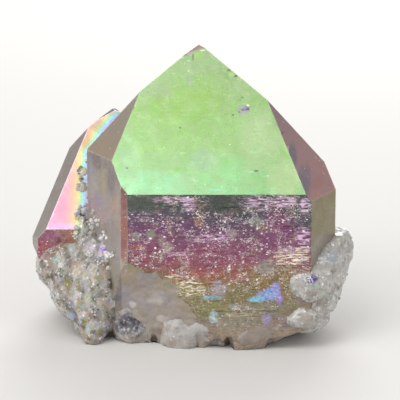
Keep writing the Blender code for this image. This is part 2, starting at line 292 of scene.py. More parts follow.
# How rough each kind of break is, and how far it lies below its flat face.
BREAKS = {"root_break": (0.34, 0.12), "chip": (0.10, 0.05)}
shaped = net.copy()
bare = np.zeros(len(net))
outward = np.zeros((len(net), 3))
belongs = [set() for _ in net]
for tri, name in zip(triangles, skin):
    for i in tri:
        belongs[i].add(name)
inner = home >= 0
outward[inner] = normals[home[inner]]
fade = smooth(off_edge, 0.0, 0.22)
on_front = inner & (face_names[home] == "side_0")
shaped[on_front] += outward[on_front] * front_relief(net[on_front], fade[on_front])[:, None]
for i in np.flatnonzero(inner & ~on_front):
    name, here = face_names[home[i]], net[i]
    if name in BREAKS:
        rough, sunk = BREAKS[name]
        lift = broken_relief(here, rough) - sunk
        bare[i] = 1.0
    elif name.startswith("point"):
        lift = 0.012 * wander(here, 1.4, 4.0) + 0.02 * wander(here, 5.0, 6.0)
    elif name == "foot":
        lift = 0.0
    else:
        level = 0.5 - 0.5 * math.cos(2 * math.pi * (here[2] + 0.2 * wander(here, 3.0, 8.0)) / 0.62)
        lift = 0.045 * level * max(0.0, 0.3 + wander(here, 3.6, 2.0)) + 0.03 * wander(here, 2.2, 1.0)
    shaped[i] += outward[i] * lift * fade[i]
for i, names_here in enumerate(belongs):
    if names_here & set(BREAKS):
        bare[i] = 1.0

for at, reach, depth in NICKS:
    away = np.linalg.norm(shaped - np.array(at), axis=1)
    inside = away < 2.2 * reach
    pull = depth * np.clip(1.0 - (away[inside] / (2.2 * reach)) ** 2, 0.0, 1.0) ** 2
    towards = np.array((MAIN_AXIS.x, MAIN_AXIS.y, 18.0)) - shaped[inside]
    shaped[inside] += towards / np.linalg.norm(towards, axis=1)[:, None] * pull[:, None]

(scar_at, scar_way), (scar_low_at, scar_low_way) = SCAR
upper = (net - np.array(scar_at)) @ np.array(Vector(scar_way).normalized())
lower = (net - np.array(scar_low_at)) @ np.array(Vector(scar_low_way).normalized())
ragged = np.array([0.40 * wander(here, 1.5, 2.0) + 0.22 * wander(here, 0.45, 5.0) for here in net])
flaked = (upper < 0) & (lower < 0)
upper_way, lower_way = Vector(scar_way).normalized().y, Vector(scar_low_way).normalized().y
for i in np.flatnonzero(flaked):
    back = min(-upper[i] / upper_way, -lower[i] / lower_way)
    settled = min(1.0, back / 0.5)
    crackle = broken_relief(net[i] * (1.0, 0.6, 1.0), 0.42) + 0.10 * wander(net[i], 0.9, 11.0)
    shaped[i] = net[i] + (shaped[i] - net[i]) * (1.0 - settled)
    shaped[i][1] = max(shaped[i][1] + back - crackle * settled, FRONT_Y)
    bare[i] = max(bare[i], smooth(-max(upper[i], lower[i]) - 0.3 - ragged[i], 0.0, 0.2))


# The main crystal: where the photograph shows things
# Patches of the film are placed by where the photograph shows them on each flat growth face.
# It was taken from a little above, square to the wide front face, with a long lens.
EYE = Vector((0.897, -323.23, 104.26))
LOOK = Vector((1.083, -0.382, 18.66))
LENS, SENSOR, PICTURE = 200.0, 36.0, 400.0
PIXEL = 0.145
THROUGH = 60.0
FORWARD = (LOOK - EYE).normalized()
RIGHTWARD = FORWARD.cross(Vector((0.0, 0.0, 1.0))).normalized()
UPWARD = RIGHTWARD.cross(FORWARD)
planes = {name: (at, facing) for name, at, facing in main_faces}
planes["edge_face"] = (Vector(EDGE_FACE[0]), Vector(EDGE_FACE[1]).normalized())


def seen(u, v, plane):
    """The point of a flat face that the photograph shows at a pixel, in millimetres."""
    at, facing = plane
    one = SENSOR / LENS / PICTURE
    way = FORWARD + RIGHTWARD * ((u - PICTURE / 2) * one) + UPWARD * ((PICTURE / 2 - v) * one)
    return EYE + way * ((at - EYE).dot(facing) / way.dot(facing))


# A row of a table of patches gives the pixels across and down to its centre, half its width and height in
# pixels, its colour, or None where only its place counts, and its strength.
def patches(plane, *rows):
    """Patches on a flat face, each as a centre, half sizes in millimetres, a colour and a strength."""
    placed = []
    for u, v, wide, tall, code, strength in rows:
        at, above = seen(u, v, plane), seen(u, v - tall, plane)
        placed.append((at, (wide * PIXEL, THROUGH, max(above.z - at.z, 0.01)), code, strength))
    return tuple(placed)


# The main crystal: its finishes
# Vapour of gold and other metals was burned onto the hot quartz as a film a few hundred atoms thick.
# It shows its colour by interference, glossy on smooth faces; bare breaks stay milky grey quartz.
QUARTZ_IOR = 1.544
PER_METRE = 1000.0
# How far light spreads below a milky surface, in metres, and the faint smoky tint of clear quartz.
LIGHT_REACH = (0.0016, 0.0015, 0.0014)
SMOKE_TINT, SMOKE_DENSITY = "#E4DED2", 22.0
MILKY = "#9B928A"
MILKY_WARM = "#A08F7A"
MILKY_COOL = "#938D98"


def srgb(code):
    """A hex colour as the linear red, green, blue and alpha that a socket takes."""
    parts = (int(code[i : i + 2], 16) / 255 for i in (1, 3, 5))
    return (*(c / 12.92 if c <= 0.04045 else ((c + 0.055) / 1.055) ** 2.4 for c in parts), 1.0)


def add(tree, kind, inputs=None, out=None, stops=None, **settings):
    """Adds one node with its settings, values and links, and returns the socket that it gives."""
    made = tree.nodes.new("ShaderNode" + kind)
    for name, value in settings.items():
        setattr(made, name, value)
    for place, value in (inputs or {}).items():
        if isinstance(value, bpy.types.NodeSocket):
            tree.links.new(value, made.inputs[place])
        else:
            made.inputs[place].default_value = value
    if stops:
        ramp = made.color_ramp.elements
        while len(ramp) < len(stops):
            ramp.new(0.5)
        for element, (at, code) in zip(ramp, stops):
            element.position = at
            element.color = srgb(code)
    if out is not None:
        return made.outputs[out]
    return next((socket for socket in made.outputs if socket.enabled), None)


def finish_tree(name):
    """An empty material, and the place on the object in millimetres."""
    material = bpy.data.materials.new(name)
    material.use_nodes = True
    tree = material.node_tree
    tree.nodes.clear()
    metres = add(tree, "TexCoord", out="Object")
    return material, tree, add(tree, "VectorMath", {0: metres, "Scale": PER_METRE}, operation="SCALE")


def banded(tree, where, along, bands, wander_size, wander_by):
    """Colours that follow each other along one way, in millimetres, with the borders wandering."""
    drift = add(tree, "TexNoise", {"Vector": where, "Scale": 1 / wander_size, "Detail": 3.0}, out="Color")
    drift = add(tree, "VectorMath", {0: drift, 1: (0.5, 0.5, 0.5)}, operation="SUBTRACT")
    drift = add(tree, "VectorMath", {0: drift, "Scale": wander_by * 3}, operation="SCALE")
    moved = add(tree, "VectorMath", {0: where, 1: drift}, operation="ADD")
    reach = add(tree, "VectorMath", {0: moved, 1: along}, operation="DOT_PRODUCT", out="Value")
    low, high = bands[0][0], bands[-1][0]
    share = add(tree, "MapRange", {0: reach, 1: low, 2: high, 3: 0.0, 4: 1.0})
    stops = [((at - low) / (high - low), code) for at, code in bands]
    return add(tree, "ValToRGB", {0: share}, stops=stops, out=0)


def patchy(tree, where, spot, edge):
    """How much of a soft-edged patch lies at each place: a centre, half sizes, a colour and a strength."""
    centre, half, _, strength = spot
    apart = add(tree, "VectorMath", {0: where, 1: centre}, operation="SUBTRACT")
    apart = add(tree, "VectorMath", {0: apart, 1: half}, operation="DIVIDE")
    apart = add(tree, "VectorMath", {0: apart}, operation="LENGTH", out="Value")
    apart = add(tree, "Math", {0: apart, 1: edge}, operation="ADD")
    fades = {0: apart, 1: 1.2, 2: 0.5, 3: 0.0, 4: strength}
    return add(tree, "MapRange", fades, out=0, interpolation_type="SMOOTHSTEP")


def ragged_edge(tree, where, ragged, size, stretch=(1.0, 1.0, 1.0)):
    """How far a patch's border is pushed in or out at each place, in notches of about that size."""
    placed = add(tree, "VectorMath", {0: where, 1: stretch}, operation="MULTIPLY")
    notched = {"Vector": placed, "Scale": 1 / size, "Detail": 6.0, "Roughness": 0.65}
    edge = add(tree, "TexNoise", notched, out=0)
    return add(tree, "Math", {0: edge, 1: ragged * 2, 2: -ragged}, operation="MULTIPLY_ADD")


def spotted(tree, where, colour, spots, edge):
    """Lays patches over a colour, one after another."""
    for spot in spots:
        share = patchy(tree, where, spot, edge)
        colour = add(tree, "Mix", {0: share, 6: colour, 7: srgb(spot[2])}, out=2, data_type="RGBA")
    return colour


def mottled(tree, where, colour, size, low, high, strength, code, detail=5.0):
    """Clouds of another colour, of about that size in millimetres, where noise passes from low to high."""
    cloudy = {"Vector": where, "Scale": 1 / size, "Detail": detail, "Roughness": 0.62}
    cloud = add(tree, "TexNoise", cloudy, out=0)
    cloud = add(tree, "MapRange", {0: cloud, 1: low, 2: high, 3: 0.0, 4: strength}, out=0)
    return add(tree, "Mix", {0: cloud, 6: colour, 7: srgb(code)}, out=2, data_type="RGBA")


def milky_colour(tree, where):
    """Broken quartz: grey, with warm and cool clouds and pale flaws."""
    cloud = add(tree, "TexNoise", {"Vector": where, "Scale": 1 / 5.5, "Detail": 4.0}, out=0)
    stops = [(0.30, MILKY_WARM), (0.50, MILKY), (0.68, MILKY_COOL)]
    clouds = add(tree, "ValToRGB", {0: cloud}, stops=stops, out=0)
    flawed = {"Vector": where, "Scale": 1 / 1.1, "Detail": 6.0, "Roughness": 0.65}
    flaws = add(tree, "TexNoise", flawed, out=0)
    flaws = add(tree, "MapRange", {0: flaws, 1: 0.56, 2: 0.72, 3: 0.0, 4: 0.5}, out=0)
    return add(tree, "Mix", {0: flaws, 6: clouds, 7: srgb("#BCB6AE")}, out=2, data_type="RGBA")


# Glints are painted into the colour as highlights, and dark specks as shade; real glints are a few hundredths
# of a millimetre across, and these are drawn as coarse as they need to be to show.
def glint_and_shade_mask(tree, where, stretch, cell, share, size=0.42):
    """A mask of specks where glints are painted as highlights, and dark gaps and pits as shade: a few cells
    in a hundred, at the cell's middle.
    """
    placed = add(tree, "VectorMath", {0: where, 1: stretch}, operation="MULTIPLY")
    settings = {"Vector": placed, "Scale": 1 / cell, "Randomness": 1.0}
    away = add(tree, "TexVoronoi", settings, out="Distance")
    lot = add(tree, "TexVoronoi", settings, out="Color")
    lot = add(tree, "SeparateColor", {0: lot}, out=0)
    chosen = add(tree, "Math", {0: lot, 1: 1.0 - share}, operation="GREATER_THAN")
    near = add(tree, "MapRange", {0: away, 1: size, 2: size * 0.4, 3: 0.0, 4: 1.0}, out=0)
    return add(tree, "Math", {0: chosen, 1: near}, operation="MULTIPLY")


def finished(material, tree, where, colour, metal, rough, clear, milk, grain=0.012, relief=None, deep=0.0):
    """Closes a material: quartz under its film, hair-finely uneven, clear or milky by the given shares."""
    soft = add(tree, "TexNoise", {"Vector": where, "Scale": 1 / 2.4, "Detail": 5.0}, out=0)
    gloss = add(tree, "MapRange", {0: soft, 1: 0.35, 2: 0.7, 3: rough[0], 4: rough[1]}, out=0)
    fine = add(tree, "TexNoise", {"Vector": where, "Scale": 1 / 0.35, "Detail": 4.0}, out=0)
    bump = add(tree, "Bump", {"Height": fine, "Distance": grain * MM, "Strength": 1.0}, out=0)
    if relief is not None:
        ridged = {"Height": relief, "Distance": deep * MM, "Strength": 1.0, "Normal": bump}
        bump = add(tree, "Bump", ridged, out=0)
    inputs = {
        "Base Color": colour,
        "Metallic": metal,
        "Roughness": gloss,
        "IOR": QUARTZ_IOR,
        "Transmission Weight": clear,
        "Subsurface Weight": milk,
        "Subsurface Radius": LIGHT_REACH,
        "Subsurface Scale": 1.0,
        "Normal": bump,
    }
    surface = add(tree, "BsdfPrincipled", inputs)
    inside = add(tree, "VolumeAbsorption", {"Color": srgb(SMOKE_TINT), "Density": SMOKE_DENSITY})
    add(tree, "OutputMaterial", {"Surface": surface, "Volume": inside})
    return material


def film_finish(
    name, along, bands, wander_by, spots, metal, rough, clear, mottle,
    share=0.03, edge="#D8D2C8", clouds=(), flecks=(),
):
    """A smooth growth face under the film: drifting bands of colour, mottles, a few spots, painted glints,
    and a painted highlight along its rims in the edge colour.
    """
    material, tree, where = finish_tree(name)
    colour = banded(tree, where, along, bands, 5.5, wander_by)
    colour = spotted(tree, where, colour, spots, ragged_edge(tree, where, 0.5, 1.6))
    colour = mottled(tree, where, colour, 2.2, 0.46, 0.70, 0.55, mottle)
    colour = mottled(tree, where, colour, 0.5, 0.55, 0.75, 0.35, mottle)
    for stretch, size, low, high, strength, code in clouds:
        drawn = add(tree, "VectorMath", {0: where, 1: stretch}, operation="MULTIPLY")
        colour = mottled(tree, drawn, colour, size, low, high, strength, code, 4.0)
    colour = spotted(tree, where, colour, flecks, ragged_edge(tree, where, 1.5, 0.4))
    # Painted glints: near-white specks of highlight.
    glint_and_shade_specks = glint_and_shade_mask(tree, where, (0.6, 0.8, 1.4), 0.36, share, 0.3)
    colour = add(tree, "Mix", {0: glint_and_shade_specks, 6: colour, 7: srgb("#F0F2E0")}, out=2, data_type="RGBA")
    # A painted highlight along the face's rims, in the edge colour, broken up by noise.
    rim_highlight_and_tint = add(tree, "Attribute", out="Fac", attribute_name="rim")
    rim_highlight_and_tint = add(tree, "MapRange", {0: rim_highlight_and_tint, 1: 0.5, 2: 1.0, 3: 0.0, 4: 0.5}, out=0)
    here = add(tree, "TexNoise", {"Vector": where, "Scale": 1 / 1.6, "Detail": 4.0}, out=0)
    here = add(tree, "MapRange", {0: here, 1: 0.42, 2: 0.60, 3: 0.15, 4: 1.0}, out=0)
    rim_highlight_and_tint = add(tree, "Math", {0: rim_highlight_and_tint, 1: here}, operation="MULTIPLY")
    colour = add(tree, "Mix", {0: rim_highlight_and_tint, 6: colour, 7: srgb(edge)}, out=2, data_type="RGBA")
    missing = add(tree, "Attribute", out="Fac", attribute_name="bare")
    milky = milky_colour(tree, where)
    colour = add(tree, "Mix", {0: missing, 6: colour, 7: milky}, out=2, data_type="RGBA")
    return finished(material, tree, where, colour, metal, rough, clear, 0.0)


UP = (0.0, 0.0, 1.0)
top = planes["point_0"]
green_spots = patches(
    top,
    (172, 98, 22, 18, "#8AB454", 0.75), (186, 105, 40, 24, "#89B24F", 0.8),
    (214, 92, 26, 20, "#8CB458", 0.5), (200, 136, 50, 22, "#8CB867", 0.5),
    (150, 184, 44, 15, "#94D0A0", 0.85), (225, 176, 34, 22, "#8AC884", 0.75),
    (262, 186, 11, 14, "#7EBB6C", 0.7), (286, 180, 19, 22, "#AEC88E", 0.9),
    (262, 136, 26, 30, "#ACC492", 0.8), (126, 160, 14, 30, "#94BF90", 0.8),
    (204, 160, 16, 12, "#97B499", 0.6), (160, 90, 16, 10, "#97A983", 0.7),
    (235, 90, 16, 14, "#92AF77", 0.6),
)
# Flecks on the green face; the pale one at 202, 50 is a painted highlight along the edge.
green_flecks = patches(
    top,
    (188, 79, 2.4, 3.0, "#98A098", 0.7), (190, 84, 1.6, 3.0, "#A4B0A0", 0.7),
    (186, 51, 6, 4, "#B4B6B0", 0.9), (181, 53, 1.6, 1.6, "#6A6460", 0.9), (198, 55, 6, 5, "#92C468", 0.8),
    (202, 50, 4, 1.2, "#DCF4C0", 0.9), (193, 57, 0.7, 4, "#5A6A4A", 0.9),
    (197, 47, 5, 2.6, "#A4A8A0", 0.9), (243.5, 109.5, 7, 4.5, "#A29AA6", 0.85),
    (246, 108, 4.0, 2.6, "#8C7C98", 0.9), (248, 109, 2.0, 1.4, "#5E4C6C", 0.95),
    (243, 110, 2.2, 1.2, "#6A5A78", 0.95), (239, 112, 1.8, 0.9, "#66566E", 0.95),
    (248, 105, 1.6, 1.2, "#E8F0D4", 0.9), (242, 97, 1.1, 1.1, "#42502E", 0.95),
    (233, 115, 1.1, 1.0, "#42502E", 0.9), (180, 128, 1.1, 1.1, "#4A5832", 0.9),
    (127, 168, 1.2, 1.2, "#4A5838", 0.9), (256, 171, 2.4, 1.3, "#4A5838", 0.8),
    (251, 172, 3.0, 1.0, "#C0C8A8", 0.6), (229, 70, 2.4, 1.6, "#5C6A48", 0.7),
    (236, 76, 1.6, 1.1, "#46503A", 0.9), (182, 153, 5.0, 0.8, "#C4E094", 0.6),
    (268, 123, 3.0, 0.9, "#C0D89C", 0.6), (253, 152, 4.0, 1.6, "#A8CCA8", 0.5),
    (215, 190, 9.0, 1.4, "#94DCBC", 0.5), (195, 180, 4.0, 2.0, "#ACC8B0", 0.5),
)
# Clouds: stretch, size, where the noise starts and ends, strength and colour.
GREEN_CLOUDS = (
    ((1.0, 1.0, 1.0), 1.2, 0.50, 0.68, 0.5, "#A6BC8C"),
    ((1.0, 1.0, 1.0), 0.7, 0.52, 0.70, 0.5, "#AABC92"),
    ((1.0, 1.0, 1.0), 1.6, 0.46, 0.32, 0.5, "#84BC56"),
    ((0.35, 1.3, 1.3), 0.34, 0.56, 0.70, 0.5, "#A4DC84"),
    ((0.6, 1.4, 1.4), 0.4, 0.46, 0.32, 0.4, "#74A85C"),
    ((1.0, 1.0, 1.0), 0.22, 0.54, 0.72, 0.5, "#B8C8A4"),
)
# The film on the wide point face, yellow-green to mint, with a painted pale green highlight along its rims.
green_face = film_finish(
    "film_over_quartz_green", UP,
    [
        (23.4, "#83C690"), (25.6, "#92C185"), (29.0, "#8EB86E"), (34.0, "#8BB267"), (39.0, "#90AD73"),
        (42.5, "#95A685"),
    ],
    wander_by=1.2, spots=green_spots, metal=0.25, rough=(0.24, 0.38), clear=0.0, mottle="#97B882",
    share=0.012, edge="#B8E49A", clouds=GREEN_CLOUDS, flecks=green_flecks,
)
right_top = planes["point_60"]
# The film on the right point face, dusty rose with slate towards the front edge.
rose_face = film_finish(
    "film_over_quartz_rose", UP,
    [(22.0, "#AC8280"), (25.0, "#AC8280"), (29.0, "#A88280"), (33.0, "#987C7E"), (38.0, "#8C7A80")],
    wander_by=0.9, spots=patches(
        right_top,
        (292, 158, 6, 16, "#706E78", 0.9), (304, 181, 9, 18, "#746E7C", 0.85),
        (318, 182, 8, 8, "#A87468", 0.7), (282, 133, 2.0, 1.6, "#40383E", 0.9),
        (288, 147, 1.2, 1.0, "#C8C0B8", 0.9),
    ),
    metal=0.2, rough=(0.22, 0.36), clear=0.25, mottle="#9C8488",
)
# The film on the left point face, mauve-brown.
left_top = planes["point_300"]
mauve_face = film_finish(
    "film_over_quartz_mauve", UP,
    [(24.0, "#B09A7E"), (27.0, "#AC9680"), (32.0, "#A29684"), (38.0, "#A89C90")],
    wander_by=1.2, spots=patches(left_top, (186, 48, 9, 6, "#BCBCB8", 0.95)),
    metal=0.18, rough=(0.22, 0.36), clear=0.3, mottle="#AC988C",
)
right_side = planes["side_60"]
# The right side face, thinly filmed: olive-yellow above, grey-beige below, with a painted glint in the pale
# spot at 331, 249.
dun_face = film_finish(
    "quartz_side_dun", UP,
    [(4.0, "#9A9080"), (10.0, "#9A9080"), (14.0, "#968C70"), (19.0, "#8E8358"), (24.0, "#8E7E48")],
    wander_by=0.6, spots=patches(
        right_side,
        (314, 204, 7, 12, "#8A7C58", 0.6), (322, 248, 16, 15, "#A89E96", 0.85),
        (326, 262, 12, 12, "#B6B0A6", 0.85), (331, 249, 3, 6, "#DCDAC0", 0.9),
        (330, 212, 4, 12, "#9A8E7C", 0.6),
    ),
    metal=0.12, rough=(0.2, 0.36), clear=0.35, mottle="#A49A84",
)
left_side = planes["side_300"]
# The left side face, mostly bare grey quartz with lavender, olive and salmon streaks. Towards the bottom it
# is pale warm beige, painted lighter still as painted light against the shade that falls in the crease by the
# druse.
grey_side = film_finish(
    "quartz_side_grey", UP,
    [(5.0, "#CCC0AC"), (9.5, "#BCB2A4"), (13.0, "#B0A8A4"), (22.0, "#A69C98"), (27.0, "#8E827E")],
    wander_by=0.9, spots=patches(
        left_side,
        (99, 162, 9, 9, "#7C706A", 0.8), (111, 181, 5, 14, "#786E6E", 0.8),
        (94, 186, 5, 10, "#B0ACA0", 0.8), (103, 184, 3.5, 14, "#A69E70", 0.8),
        (97, 200, 5, 10, "#9A90B0", 0.7), (91, 172, 2, 14, "#9CA0B4", 0.8),
        (115, 203, 6, 12, "#BE9A84", 0.8), (118, 222, 6, 8, "#B8AA90", 0.7),
        (86, 236, 8, 12, "#A8C0B4", 0.7), (100, 244, 9, 10, "#B4A8CC", 0.7),
        (106, 262, 8, 14, "#B8AC98", 0.8), (98, 222, 8, 9, "#AAA29C", 0.7),
    ),
    metal=0.12, rough=(0.22, 0.36), clear=0.35, mottle="#A8A098", share=0.05, clouds=(
        ((1.0, 1.0, 0.45), 1.5, 0.50, 0.66, 0.45, "#B8A898"),
        ((1.0, 1.0, 0.45), 1.1, 0.46, 0.32, 0.45, "#7A747C"),
        ((1.0, 1.0, 1.0), 0.5, 0.58, 0.72, 0.5, "#C8C0B8"),
    ),
)
# The narrow edge face, rough under the film.
rust_edge = film_finish(
    "film_over_quartz_rust", UP,
    [
        (0.0, "#A09890"), (13.0, "#A39884"), (14.4, "#86605A"), (18.0, "#884E48"), (21.0, "#7C504E"),
        (25.0, "#6E5254"),
    ],
    wander_by=0.7, spots=(), metal=0.15, rough=(0.26, 0.44), clear=0.0, mottle="#A88878", share=0.22,
)
# The film on the faces round the back, where the photograph shows nothing: the same hues, drifting.
back_faces = film_finish(
    "film_over_quartz_dusk", (0.55, 0.5, 0.65),
    [
        (-8.0, "#9AA0B8"), (-1.0, "#A8A6A0"), (5.0, "#B89A94"), (11.0, "#A87E94"), (17.0, "#8A7CA2"),
        (23.0, "#86A2A8"), (29.0, "#A2C29C"), (35.0, "#C0BC8E"),
    ],
    wander_by=2.6, spots=(), metal=0.26, rough=(0.12, 0.26), clear=0.2, mottle="#ACA6A4", share=0.04,
)
front = planes["side_0"]
front_spots = patches(
    front,
    (203, 259, 24, 15, "#934462", 0.7), (190, 275, 24, 6, "#A2534A", 0.6),
    (241, 277, 12, 7, "#9B5544", 0.7), (146, 262, 22, 10, "#8C4A58", 0.5),
    (276, 276, 38, 13, "#86763C", 0.8), (240, 294, 18, 13, "#7C7648", 0.75),
    (306, 220, 7, 18, "#555156", 0.6), (277, 225, 15, 22, "#843E6C", 0.75),
    (146, 203, 26, 9, "#444D46", 0.95), (223, 203, 20, 9, "#39443D", 0.95),
    (175, 215, 14, 7, "#4F4E58", 0.8), (199, 222, 5, 6, "#90634A", 0.8), (256, 222, 9, 6, "#8C9584", 0.8),
    (263, 227, 5, 4, "#886B46", 0.8), (136, 236, 5, 4, "#8C9381", 0.75), (151, 235, 5, 6, "#939381", 0.8),
    (168, 247, 7, 6, "#A6998C", 0.7), (137, 247, 8, 3, "#9B6042", 0.7), (233, 232, 5, 4, "#A29B93", 0.6),
    (185, 265, 6, 5, "#A28E76", 0.5), (266, 267, 10, 9, "#979088", 0.9),
    (302, 290, 12, 24, "#90847D", 0.85), (262, 308, 34, 7, "#868070", 0.7),
    (256, 332, 62, 15, "#998975", 0.9), (212, 309, 20, 13, "#86864E", 0.75),
    (240, 322, 26, 8, "#8A8670", 0.65), (281, 321, 22, 9, "#867A78", 0.6),
    (219, 290, 10, 9, "#AEA6AD", 0.7), (169, 291, 5, 4, "#A2B170", 0.6), (153, 280, 7, 4, "#9BA267", 0.6),
)
front_pearls = patches(
    front,
    (257, 299, 9, 4, "#84D0F0", 1.0), (268, 295, 10, 7, "#84B0FC", 1.0), (276, 290, 5, 9, "#98A4F8", 1.0),
    (279, 299, 4, 6, "#9A84E0", 0.95), (212, 298, 11, 2.6, "#7CBCDC", 0.85),
    (217, 284, 5, 5, "#C8BCD0", 0.6), (214, 317, 5, 7, "#BCE0EA", 0.9), (266, 318, 6, 7, "#A49AD0", 0.8),
    (234, 306, 7, 3, "#A4B4C4", 0.6),
)
# Patches where pink highlights are painted as level stripes along the growth ledges.
front_pink_highlights = patches(
    front,
    (176, 200, 22, 4.5, None, 1.0), (190, 206, 9, 5, None, 0.9),
    (258, 203, 18, 9, None, 1.0), (285, 202, 15, 8, None, 0.9),
    (305, 206, 7, 9, None, 1.0), (303, 237, 8, 11, None, 1.0),
    (213, 238, 22, 4.5, None, 0.9), (180, 254, 12, 3, None, 0.7),
    (294, 250, 18, 5, None, 0.7),
)
front_dark = patches(
    front,
    (143, 203, 26, 9, "#465048", 0.7), (223, 203, 20, 9, "#3C4840", 0.7),
)
front_calm = patches(
    front,
    (143, 204, 28, 12, None, 0.97), (223, 203, 22, 11, None, 0.97), (266, 267, 9, 8, None, 0.9),
    (302, 290, 10, 22, None, 0.7), (172, 214, 14, 7, None, 0.6), (250, 334, 70, 14, None, 0.8),
)
# Patches where gold-white highlights are painted as level stripes along the growth ledges.
front_gold_highlights = patches(
    front,
    (292, 258, 19, 9, None, 0.9), (302, 251, 9, 5, None, 0.8), (188, 288, 18, 11, None, 0.75),
    (172, 277, 8, 3, None, 0.8), (244, 312, 24, 6, None, 0.35),
)


scar_plane = (Vector((0.0, FRONT_Y + 2.0, 0.0)), Vector((0.0, -1.0, 0.0)))
# The dark grey patch at 158, 332 is painted shade at the notch in the foot's rim.
scar_spots = patches(
    scar_plane,
    (133, 266, 18, 6, "#948A68", 0.75), (165, 283, 9, 7, "#988E6E", 0.6),
    (196, 308, 7, 12, "#9C946E", 0.5), (132, 307, 4, 4, "#CAC2BE", 0.7), (157, 300, 9, 6, "#BAB2AE", 0.6),
    (162, 319, 7, 4, "#C6C0BC", 0.6), (158, 332, 8, 4, "#6E6868", 0.5),
    (140, 290, 18, 14, "#9E928A", 0.5),
)


def striped(tree, where, spots, edge, spacing):
    """A mask of level stripes inside some patches, each stripe a hair's growth ledge, for painted highlights.
    """
    mask = patchy(tree, where, spots[0], edge)
    for spot in spots[1:]:
        mask = add(tree, "Math", {0: mask, 1: patchy(tree, where, spot, edge)}, operation="MAXIMUM")
    level = add(tree, "VectorMath", {0: where, 1: (0.15, 0.5, 1.0)}, operation="MULTIPLY")
    ledged = {"Vector": level, "Scale": 1 / spacing, "Detail": 4.0, "Roughness": 0.7}
    lines = add(tree, "TexNoise", ledged, out=0)
    lines = add(tree, "MapRange", {0: lines, 1: 0.48, 2: 0.56, 3: 0.0, 4: 1.0}, out=0)
    return add(tree, "Math", {0: mask, 1: lines}, operation="MULTIPLY")


def squiggles(tree, where, size, thick, mask_size, low, high):
    """Thin broken lines in some places only, a mask for painted highlights on the rims of pits and growth
    hillocks.
    """
    drawn = add(tree, "VectorMath", {0: where, 1: (0.8, 1.0, 1.3)}, operation="MULTIPLY")
    rolling = {"Vector": drawn, "Scale": 1 / size, "Detail": 1.0, "Roughness": 0.5}
    field = add(tree, "TexNoise", rolling, out=0)
    field = add(tree, "Math", {0: field, 1: -0.5}, operation="ADD")
    field = add(tree, "Math", {0: field}, operation="ABSOLUTE")
    line = add(tree, "MapRange", {0: field, 1: thick, 2: thick * 0.3, 3: 0.0, 4: 1.0}, out=0)
    scattered = {"Vector": where, "Scale": 1 / mask_size, "Detail": 4.0, "Roughness": 0.7}
    some = add(tree, "TexNoise", scattered, out=0)
    some = add(tree, "MapRange", {0: some, 1: low, 2: high, 3: 0.0, 4: 1.0}, out=0)
    return add(tree, "Math", {0: line, 1: some}, operation="MULTIPLY")


